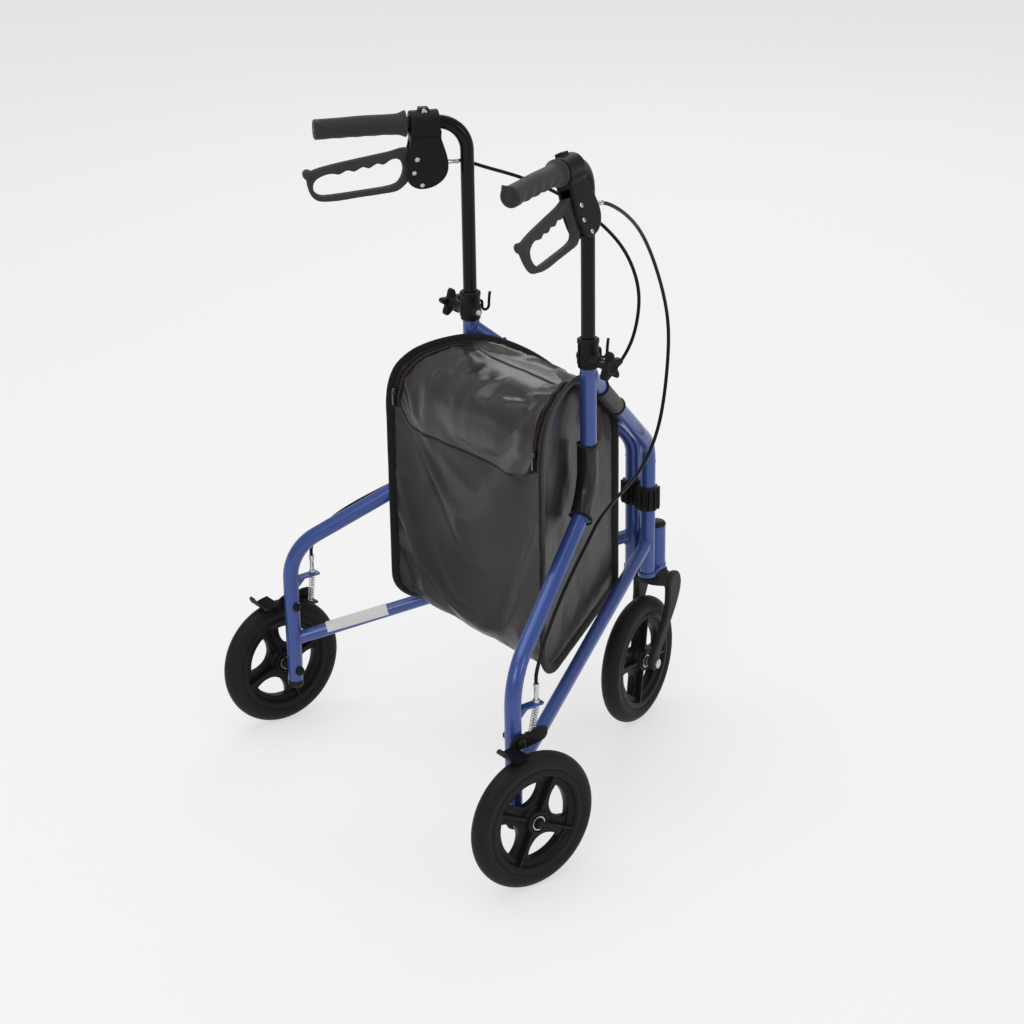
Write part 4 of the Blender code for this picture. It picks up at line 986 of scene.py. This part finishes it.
# ---- Head column and fork -------------------------------------------------------------
def build_column():
    cap = [(0, HEAD_TOP + 0.0002), (HEAD_R + 0.0004, HEAD_TOP + 0.0002),
           (HEAD_R + 0.0004, HEAD_TOP + 0.0024), (HEAD_R - 0.0010, HEAD_TOP + 0.0046),
           (HEAD_R - 0.0045, HEAD_TOP + 0.0064), (0, HEAD_TOP + 0.0072)]
    piece("head_cap_fine", lathe(cap, 48), "black", "column", CENTRE @ shift(y=STEM_Y),
          ["head_cap"])
    tube = [(0.0066, HEAD_BOTTOM), (HEAD_R + 0.0010, HEAD_BOTTOM),
            (HEAD_R + 0.0010, HEAD_BOTTOM + 0.0065), (HEAD_R, HEAD_BOTTOM + 0.0075),
            (HEAD_R, HEAD_TOP - 0.0006), (HEAD_R - 0.0006, HEAD_TOP), (0.0066, HEAD_TOP)]
    head = lathe(tube, 48, closed=True)
    head.transform(shift(y=STEM_Y))
    parts = [head]
    for x in (-FOLD_X, FOLD_X):
        parts += [rod(0.006, HEAD_BOTTOM + 0.002, 0.385, 24, centre=(x, 0, 0)),
                  rod(0.0130, HEAD_BOTTOM, FRONT_BOTTOM - 0.0006, 40, centre=(x, 0, 0))]
    plate = prism([(-0.0290, 0.0), (0.0290, 0.0), (0.0140, STEM_Y + 0.004),
                   (-0.0140, STEM_Y + 0.004)], HEAD_BOTTOM, FRONT_BOTTOM - 0.0006, "Z")
    web = block((-0.003, 0.0, HEAD_BOTTOM + 0.002), (0.003, STEM_Y - 0.010, 0.280))
    piece("head_bracket_fine", join(*parts, plate, web), "paint", "column", CENTRE,
          ["head_bracket"], bevel=0.0005)


def build_fork():
    crown = rod(0.0170, 0.2020, CROWN_TOP - 0.0006, 48)
    hood = bmesh.new()
    bmesh.ops.create_uvsphere(hood, u_segments=40, v_segments=20, radius=1.0)
    for vert in hood.verts:
        x, y, z = vert.co
        vert.co = (x * 0.0312, y * 0.0205, max(0.1990, 0.2010 + z * 0.0186))
    parts = [crown, hood]
    outline = smooth_points([(0.0120, 0.2160), (0.0200, 0.2085), (0.0236, 0.1960),
                             (0.0205, 0.1820), (0.0085, 0.1620), (-0.0090, 0.1420),
                             (-0.0270, 0.1200), (-0.0425, 0.1010), (-0.0500, 0.0890),
                             (-0.0570, 0.0850), (-0.0650, 0.0890), (-0.0672, 0.0970),
                             (-0.0630, 0.1070), (-0.0400, 0.1320), (-0.0180, 0.1610),
                             (-0.0135, 0.1850), (-0.0120, 0.2080), (0.0, 0.2165)], 5)
    for side in (-1, 1):
        parts += [side_prism(outline, side, 0.0215, 0.0308),
                  rod(0.0108, *sorted((side * 0.0212, side * 0.0316)), 36, "X",
                      (0, -TRAIL, WHEEL_R))]
    melted = fuse(parts, 0.0013, 9)
    piece("fork_fine", melted, "fork", "caster", SWIVEL, ["fork"], sharp=60)
    axle = [(0, -0.0362), (0.0040, -0.0360), (0.0062, -0.0345), (0.0066, -0.0320),
            (AXLE_R, -0.0318), (AXLE_R, 0.0318), (0.0070, 0.0318), (0.0070, 0.0352),
            (0.0046, 0.0364), (0, 0.0365)]
    piece("front_axle_fine", lathe(axle, 28, "X", (0, -TRAIL, WHEEL_R)), "zinc", "caster", SWIVEL,
          ["front_axle"])
    stem = [(0, CROWN_TOP - 0.001), (0.0060, CROWN_TOP - 0.001), (0.0060, HEAD_TOP - 0.001),
            (0, HEAD_TOP - 0.001)]
    piece("caster_stem_fine", lathe(stem, 28), "zinc", "caster", SWIVEL, ["caster_stem"])


add_camera()
for tag, side in SIDES.items():
    build_frame(tag, side)
    build_fold_gear(tag, side)
    build_collar(tag, side)
    build_rear_brake(tag, side)
    build_wheel(tag, LEG[tag] @ shift(x=side * WHEEL_OUT, z=WHEEL_R), SPOKE_ANGLE[tag])
    build_handle(tag, side)
    build_brake_unit(tag, side)
    build_cable(tag, side)
build_column()
build_fork()
build_wheel("front", SWIVEL @ shift(y=-TRAIL, z=WHEEL_R), SPOKE_ANGLE["front"])


# ---- Bag ------------------------------------------------------------------------------
STEP_ALONG, COLUMNS = 0.0068, 44            # the wrap's mesh: row spacing, faces across
SIM_FRAMES, SLACK = 24, 0.018               # slack as a share of the vinyl's length
MOST_MOVE = 0.012               # the simulation may move a point by no more than this
SHELL = 0.0014                  # thickness the vinyl is drawn with
FLAP_MARGIN = 0.019             # flap's side edges, inboard of the side binding
PANEL_RINGS = 16
BINDING_WIDE, BINDING_THICK = 0.0070, 0.0023    # half axes of the binding's section
CORNER, CORNER_TUCK = 0.038, 0.034          # height and width of the flap's round corners
CREST_SINK, FLAP_RISE = 0.0020, 0.0042      # flap starts under the wrap, and rises this much
ZIP_INSET, ZIP_LIFT = 0.0075, 0.0014        # zips, outboard of the flap's edge and off the wrap
SLIDER_SHARE = 0.86             # how far down each zip its slider rests
RIPPLE = 0.0060                 # creases that the vinyl starts the simulation with
CREASE = 0.0030                 # depth of the side panels' creases and hollow
SHINY_Z = 0.552                 # above this the wrap is of the flap's vinyl, with its painted reflection
BAG_TOP_Z, REAR_Y = 0.594, -0.3095


def half_width(y):
    """Half the bag's width at a place behind the fold axes."""
    return FOLD_X - BAG_INSET - y * math.tan(SPLAY)


def on_side(p, side):
    """The place of an outline point on the side seam."""
    return Vector((side * half_width(p.x), FOLD_Y + p.x, p.y))


def bag_outline():
    """The bag's side outline as evenly spaced (y, z): up the front, over, down the rear."""
    rough = [Vector((-0.084, 0.249)), Vector((-0.084, 0.440))]
    rough += smooth_points([(-0.084, 0.450), (-0.0845, 0.475), (-0.090, 0.505), (-0.1080, 0.5360),
                            (-0.1400, 0.5650), (-0.1800, 0.5870), (-0.2110, 0.5940),
                            (-0.2400, 0.5910), (-0.2640, 0.5840), (-0.2830, 0.5740),
                            (-0.2990, 0.5570), (-0.3070, 0.5350), (-0.3100, 0.5100),
                            (-0.3100, 0.4900)], 6, closed=False)
    rough += [Vector(p) for p in arc((-0.275, 0.246), 0.035, 180, 270, 10)]
    corner = [Vector(p) for p in ((-0.100, 0.2350), (-0.084, 0.2372), (-0.084, 0.249))]
    rough += [corner[0] * (1 - t) ** 2 + corner[1] * 2 * t * (1 - t) + corner[2] * t * t
              for t in (0, 0.2, 0.4, 0.6, 0.8)]
    lengths = [(rough[(i + 1) % len(rough)] - p).length for i, p in enumerate(rough)]
    whole = sum(lengths)
    count = round(whole / STEP_ALONG)
    found, i, gone = [], 0, 0.0
    for k in range(count):
        goal = whole * k / count
        while gone + lengths[i] < goal:
            gone += lengths[i]
            i += 1
        found.append(rough[i].lerp(rough[(i + 1) % len(rough)], (goal - gone) / lengths[i]))
    return found


def outward(outline, row):
    """The direction out of the bag at a row of its outline."""
    i = int(row) % len(outline)
    along = (outline[(i + 1) % len(outline)] - outline[i - 1]).normalized()
    return Vector((0, along.y, -along.x))


def drape(outline):
    """Let the slack vinyl of the front, top, rear and floor settle between the side panels."""
    rows = len(outline)
    flat = np.zeros((rows, COLUMNS + 1, 3))
    for i, (y, z) in enumerate(outline):
        for k in range(COLUMNS + 1):
            v = 2 * k / COLUMNS - 1
            flat[i, k] = (v * half_width(y), FOLD_Y + y, z)
    start = flat.copy()
    for i, (y, z) in enumerate(outline):
        inward = -outward(outline, i)
        for k in range(1, COLUMNS):
            x = flat[i, k, 0]
            ripple = 1.3 * noise.noise(Vector((x * 26, 3.1, z * 2.2))) + 0.4 * noise.noise(
                Vector((x * 60, y * 14, z * 9)))
            seam_fade = min(1.0, 6 * min(k, COLUMNS - k) / COLUMNS)
            fade = seam_fade * min(1.0, max(0.25, (z - 0.22) / 0.06))
            start[i, k, 1] += RIPPLE * ripple * fade * inward.y
            start[i, k, 2] += RIPPLE * ripple * fade * inward.z
    faces = [(i * (COLUMNS + 1) + k, i * (COLUMNS + 1) + k + 1,
              (i + 1) % rows * (COLUMNS + 1) + k + 1, (i + 1) % rows * (COLUMNS + 1) + k)
             for i in range(rows) for k in range(COLUMNS)]
    mesh = bpy.data.meshes.new("drape")
    mesh.from_pydata([tuple(p) for p in start.reshape(-1, 3)], [], faces)
    obj = link("drape", mesh)
    pins = obj.vertex_groups.new(name="seams")
    pins.add([i * (COLUMNS + 1) + k for i in range(rows) for k in (0, COLUMNS)], 1.0, "REPLACE")
    cloth = obj.modifiers.new("cloth", "CLOTH")
    for key, value in (("vertex_group_mass", "seams"), ("quality", 6), ("mass", 0.25),
                       ("tension_stiffness", 30), ("compression_stiffness", 30),
                       ("shear_stiffness", 12), ("bending_stiffness", 0.8),
                       ("shrink_min", -SLACK), ("air_damping", 4)):
        setattr(cloth.settings, key, value)
    cloth.settings.effector_weights.gravity = 0.3
    cloth.point_cache.frame_start = 1
    cloth.point_cache.frame_end = SIM_FRAMES
    for step in range(1, SIM_FRAMES + 1):
        bpy.context.scene.frame_set(step)
    apply_modifiers(obj)
    settled = np.zeros(rows * (COLUMNS + 1) * 3)
    obj.data.vertices.foreach_get("co", settled)
    bpy.data.objects.remove(obj)
    bpy.context.scene.frame_set(1)
    moved = settled.reshape(flat.shape) - flat
    far = np.linalg.norm(moved, axis=2, keepdims=True)
    return flat + moved * np.minimum(1.0, MOST_MOVE / np.maximum(far, 1e-9))


class BagSkin:
    """The settled skin, looked up by distance along the outline and across the width."""

    def __init__(self):
        self.outline = bag_outline()
        self.grid = drape(self.outline)
        self.rows = len(self.outline)
        top = Vector((FLAP_Y, BAG_TOP_Z))
        rear = [i for i, p in enumerate(self.outline) if p.x < REAR_Y]
        self.crest = min(range(self.rows), key=lambda i: (self.outline[i] - top).length)
        self.hem = min(rear, key=lambda i: abs(self.outline[i].y - FLAP_Z))

    def at(self, row, x_share, lift=0.0):
        """The point at a row (may be fractional) and a share -1..1 of the width."""
        column = (x_share + 1) / 2 * COLUMNS
        column = min(max(column, 0.0), COLUMNS - 1e-6)
        i, k = math.floor(row), int(column)
        a, b = row - i, column - k
        g = self.grid
        i0, i1 = i % self.rows, (i + 1) % self.rows
        point = ((g[i0, k] * (1 - b) + g[i0, k + 1] * b) * (1 - a)
                 + (g[i1, k] * (1 - b) + g[i1, k + 1] * b) * a)
        return Vector(point) + outward(self.outline, row) * lift

    def half(self, row):
        i = math.floor(row)
        y = self.outline[i % self.rows].lerp(self.outline[(i + 1) % self.rows], row - i).x
        return half_width(y)

    def share_at(self, row, margin):
        """The share of the half width that is left inboard of a margin."""
        return 1 - margin / self.half(row)


def soft_piece(name, bm, material, body, stands_for=(), thick=0.0, sharp=60):
    """A piece of the bag: thickened, riding on its body."""
    obj = piece(name, bm, material, None, stands_for=stands_for, sharp=sharp)
    if thick:
        modifier = obj.modifiers.new("shell", "SOLIDIFY")
        modifier.thickness = thick
        modifier.offset = -1
        apply_modifiers(obj)
        obj.data.shade_smooth()
    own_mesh(obj)
    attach(obj, body)
    return obj


def build_wrap(skin):
    """Front, top, rear and floor, open behind the flap."""
    rows = skin.rows
    open_from, open_to = skin.crest + 1, skin.hem - 1
    wrap = bmesh.new()
    verts = [[wrap.verts.new(skin.grid[i, k]) for k in range(COLUMNS + 1)] for i in range(rows)]
    for i in range(rows):
        j = (i + 1) % rows
        for k in range(COLUMNS):
            middle = abs(2 * (k + 0.5) / COLUMNS - 1) * skin.half(i)
            if open_from <= i < open_to and middle < skin.half(i) - FLAP_MARGIN - 0.004:
                continue
            face = wrap.faces.new((verts[i][k], verts[i][k + 1], verts[j][k + 1], verts[j][k]))
            if skin.outline[i].y > SHINY_Z:
                face.material_index = 1
    for vert in [v for v in wrap.verts if not v.link_faces]:
        wrap.verts.remove(vert)
    obj = soft_piece("bag_wrap", wrap, "vinyl", "column", ["bag_body"], thick=SHELL)
    obj.data.materials.append(MAT["flap"])


def build_side_panel(skin, tag, side):
    """A creased panel that closes one side, and the binding round it."""
    middle = Vector((0, 0))
    for p in skin.outline:
        middle += p / skin.rows
    out = Vector((side * math.cos(SPLAY), math.sin(SPLAY), 0))
    loops = []
    for r in range(PANEL_RINGS):
        share = 1 - r / PANEL_RINGS
        loop = []
        for p in skin.outline:
            point = middle.lerp(p, share)
            y, z = point
            crease = noise.noise(Vector((y * 26 + z * 9, z * 5, side * 2.0)))
            crease += 0.5 * noise.noise(Vector((y * 60 - z * 30, z * 24, side * 5.0)))
            depth = -CREASE * (1 - share ** 2) + CREASE * crease
            loop.append(on_side(point, side) + out * (depth * min(1.0, (1 - share) * 5)))
        loops.append(loop)
    panel, rings = tube_from(loops)
    panel.faces.new(rings[-1])
    soft_piece("bag_side_" + tag, panel, "vinyl", "column", thick=SHELL)

    strips = []
    for i, p in enumerate(skin.outline):
        normal = outward(skin.outline, i)
        rib = (normal + Vector((side * 0.35, 0.0, 0))).normalized()
        cross = Vector((0, -normal.z, normal.y)).cross(rib).normalized()
        base = on_side(p, side) + rib * 0.0010
        base += cross * (0.0006 * noise.noise(Vector((p.x * 50, p.y * 50, side))))
        strips.append([base + rib * (BINDING_WIDE * math.cos(a))
                       + cross * (BINDING_THICK * math.sin(a))
                       for a in [2 * math.pi * k / 14 for k in range(14)]])
    binding, rings = tube_from(strips)
    bridge(binding, rings[-1], rings[0])
    soft_piece("bag_binding_" + tag, binding, "tape", "column")


def build_flap(skin):
    """The flap over the opening, with round lower corners, and the piping on its hem."""
    first, last, corner = skin.crest - 0.6, skin.hem + 0.9, CORNER / STEP_ALONG
    lines, across, down = [], 48, int((last - first) * 1.6)
    for r in range(down + 1):
        row = first + (last - first) * r / down
        to_corner = max(0.0, 1 - (last - row) / corner)
        tuck = CORNER_TUCK * (1 - math.sqrt(max(0.0, 1 - to_corner ** 2)))
        share = skin.share_at(row, FLAP_MARGIN + tuck)
        line = []
        for k in range(across + 1):
            v = 2 * k / across - 1
            lift = FLAP_RISE * min(1.0, 5 * r / down) - CREST_SINK
            lift += 0.0016 * (1 - v * v) * math.sin(math.pi * r / down)
            line.append(skin.at(row, v * share, lift))
        lines.append(line)
    soft_piece("bag_flap_sheet", sheet_from(lines), "flap", "flap", ["bag_flap"], thick=SHELL)

    right_edge, left_edge = ([line[end] for line in lines[2:]] for end in (-1, 0))
    hem = relax(right_edge + lines[-1][-2:0:-1] + left_edge[::-1], 3)
    soft_piece("bag_flap_piping", sweep(hem, 0.0021, 10), "tape", "flap")


def build_zip(skin, tag, side):
    """Tape, teeth and slider along one edge of the opening."""
    top_row, end_row, steps = skin.crest + 0.5, skin.hem - 1.5, 40
    path = []
    for i in range(steps + 1):
        row = top_row + (end_row - top_row) * i / steps
        path.append(skin.at(row, side * skin.share_at(row, FLAP_MARGIN - ZIP_INSET), ZIP_LIFT))
    path = relax(path, 2)
    tape = sweep(path, 0, shape=[(-0.0066, -0.0005), (0.0066, -0.0005), (0.0066, 0.0005),
                                 (-0.0066, 0.0005)], guide=(1, 0, 0))
    soft_piece("zip_tape_" + tag, tape, "zip", "column")
    teeth = [p + Vector((0, -0.0008, 0.0004)) for p in smooth_points(path, 6, closed=False)]
    teeth = sweep(teeth, lambda i: 0.0017 if i % 2 else 0.0012, 8)
    soft_piece("zip_teeth_" + tag, teeth, "zip", "column")
    end = path[round(steps * SLIDER_SHARE)] + Vector((0, -0.0020, 0.0010))
    slider = join(block((-0.0034, -0.0030, -0.0050), (0.0034, 0.0018, 0.0050)),
                  block((-0.0022, -0.0048, -0.0200), (0.0022, -0.0034, -0.0030)),
                  sweep([(0, -0.0026, 0.0030), (0, -0.0056, 0.0005), (0, -0.0040, -0.0045)],
                        0.0009, 8))
    obj = piece("zip_slider_" + tag, slider, "gunmetal", "column", shift(*end), bevel=0.0006)
    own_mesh(obj)


STRAP_START, STRAP_LENGTH = 0.052, 0.078    # along the front tube, from its weld


def build_sleeves(tag, side):
    """The vinyl sleeve round the post and the strap round the front tube that carry the bag."""
    body, place = "frame_" + tag, FOLD[tag]
    path = bent_path([(0, -POST_U, 0.508), (0, -POST_U, POST_BEND_Z), (0, -LEG_U, LEG_BEND_Z)],
                     TUBE_BEND_R, 14)
    path = [p for p in path if p.z > 0.414]
    dense = smooth_points(path, 4, closed=False)
    rings = []
    for i, p in enumerate(dense):
        tangent = (dense[min(i + 1, len(dense) - 1)] - dense[max(i - 1, 0)]).normalized()
        across = Vector((1, 0, 0))
        up = tangent.cross(across).normalized()
        ring = []
        for k in range(40):
            a = 2 * math.pi * k / 40
            loose = 0.0124 + 0.0010 * noise.noise(Vector((math.cos(a) * 2, math.sin(a) * 2,
                                                          p.z * 45 + side)))
            inward = max(0.0, -side * math.cos(a)) ** 3
            ring.append(p + across * math.cos(a) * (loose + 0.004 * inward)
                        + up * math.sin(a) * loose)
        rings.append(ring)
    sleeve, _ = tube_from(rings)
    obj = piece("post_sleeve_fine_" + tag, sleeve, "vinyl", body, place, ["post_sleeve_" + tag])
    modifier = obj.modifiers.new("shell", "SOLIDIFY")
    modifier.thickness = 0.001
    apply_modifiers(obj)
    hems = [sweep(ring, 0.0013, 8, closed=True) for ring in (rings[0], rings[-1])]
    piece("post_sleeve_hems_" + tag, join(*hems), "tape", body, place)

    slope = (Vector((0, 0, FRONT_BEND_Z)) - Vector((0, -POST_U, FRONT_WELD_Z))).normalized()
    begin = Vector((0, -POST_U, FRONT_WELD_Z)) + slope * STRAP_START
    strap = [begin + slope * (STRAP_LENGTH * i / 16) for i in range(17)]
    tube = sweep(strap, lambda i: 0.0121 + 0.0003 * math.sin(i * 1.9), 40, caps=False)
    lines = []
    for i, p in enumerate(strap):
        line = []
        for k in range(9):
            t = k / 8
            inward = Vector((-side * (0.0118 - 0.002 * t), 0.0, -0.003 - 0.050 * t))
            ease = Vector((side * 0.0015 * math.sin(math.pi * t) * math.cos(i * 0.8), 0, 0))
            line.append(p + inward + ease + slope * 0.010 * t)
        lines.append(line)
    web = sheet_from(lines)
    bmesh.ops.solidify(web, geom=list(web.faces), thickness=0.0012)
    piece("front_strap_" + tag, join(tube, web), "strap", body, place)
    rims = []
    for end, along in ((strap[0], slope), (strap[-1], -slope)):
        across = Vector((1, 0, 0))
        up = along.cross(across).normalized()
        rims.append(sweep(ring_points(end, across, up, 0.0124, 40), 0.0015, 8, closed=True))
    piece("front_strap_binding_" + tag, join(*rims), "tape", body, place)


skin = BagSkin()
build_wrap(skin)
for tag, side in SIDES.items():
    build_side_panel(skin, tag, side)
build_flap(skin)
for tag, side in SIDES.items():
    build_zip(skin, tag, side)
for tag, side in SIDES.items():
    build_sleeves(tag, side)


# ---- Studio ---------------------------------------------------------------------------
def build_studio():
    bpy.context.scene.view_settings.view_transform = "Standard"
    floor = bmesh.new()
    bmesh.ops.create_grid(floor, x_segments=1, y_segments=1, size=30)
    mesh = bpy.data.meshes.new("floor")
    floor.to_mesh(mesh)
    floor.free()
    obj = link("floor", mesh)
    material = bpy.data.materials.new("pale_floor")
    material.use_nodes = True
    shader = material.node_tree.nodes["Principled BSDF"]
    for key, value in (("Base Color", (0.30, 0.30, 0.302, 1)), ("Emission Strength", 0.61),
                       ("Emission Color", (1.0, 0.995, 0.99, 1)), ("Roughness", 0.85)):
        shader.inputs[key].default_value = value
    mesh.materials.append(material)
    world = bpy.data.worlds.new("studio")
    bpy.context.scene.world = world
    world.use_nodes = True
    sky = world.node_tree.nodes["Background"]
    sky.inputs["Color"].default_value = (1.0, 1.0, 1.0, 1)
    sky.inputs["Strength"].default_value = 0.44
    lights = (("top", (-0.4, -0.6, 4.2), 3.4, 66), ("key", (2.2, -3.0, 3.2), 1.6, 38),
              ("side", (3.4, 1.6, 1.8), 1.4, 16), ("back", (-2.6, 2.6, 2.6), 2.2, 24))
    for name, place, size, power in lights:
        data = bpy.data.lights.new(name, "AREA")
        data.shape = "SQUARE"
        data.size = size
        data.energy = power
        lamp = link(name, data)
        aim = Vector((0, 0, 0.45)) - Vector(place)
        lamp.matrix_world = shift(*place) @ aim.to_track_quat("-Z", "Y").to_matrix().to_4x4()


build_studio()
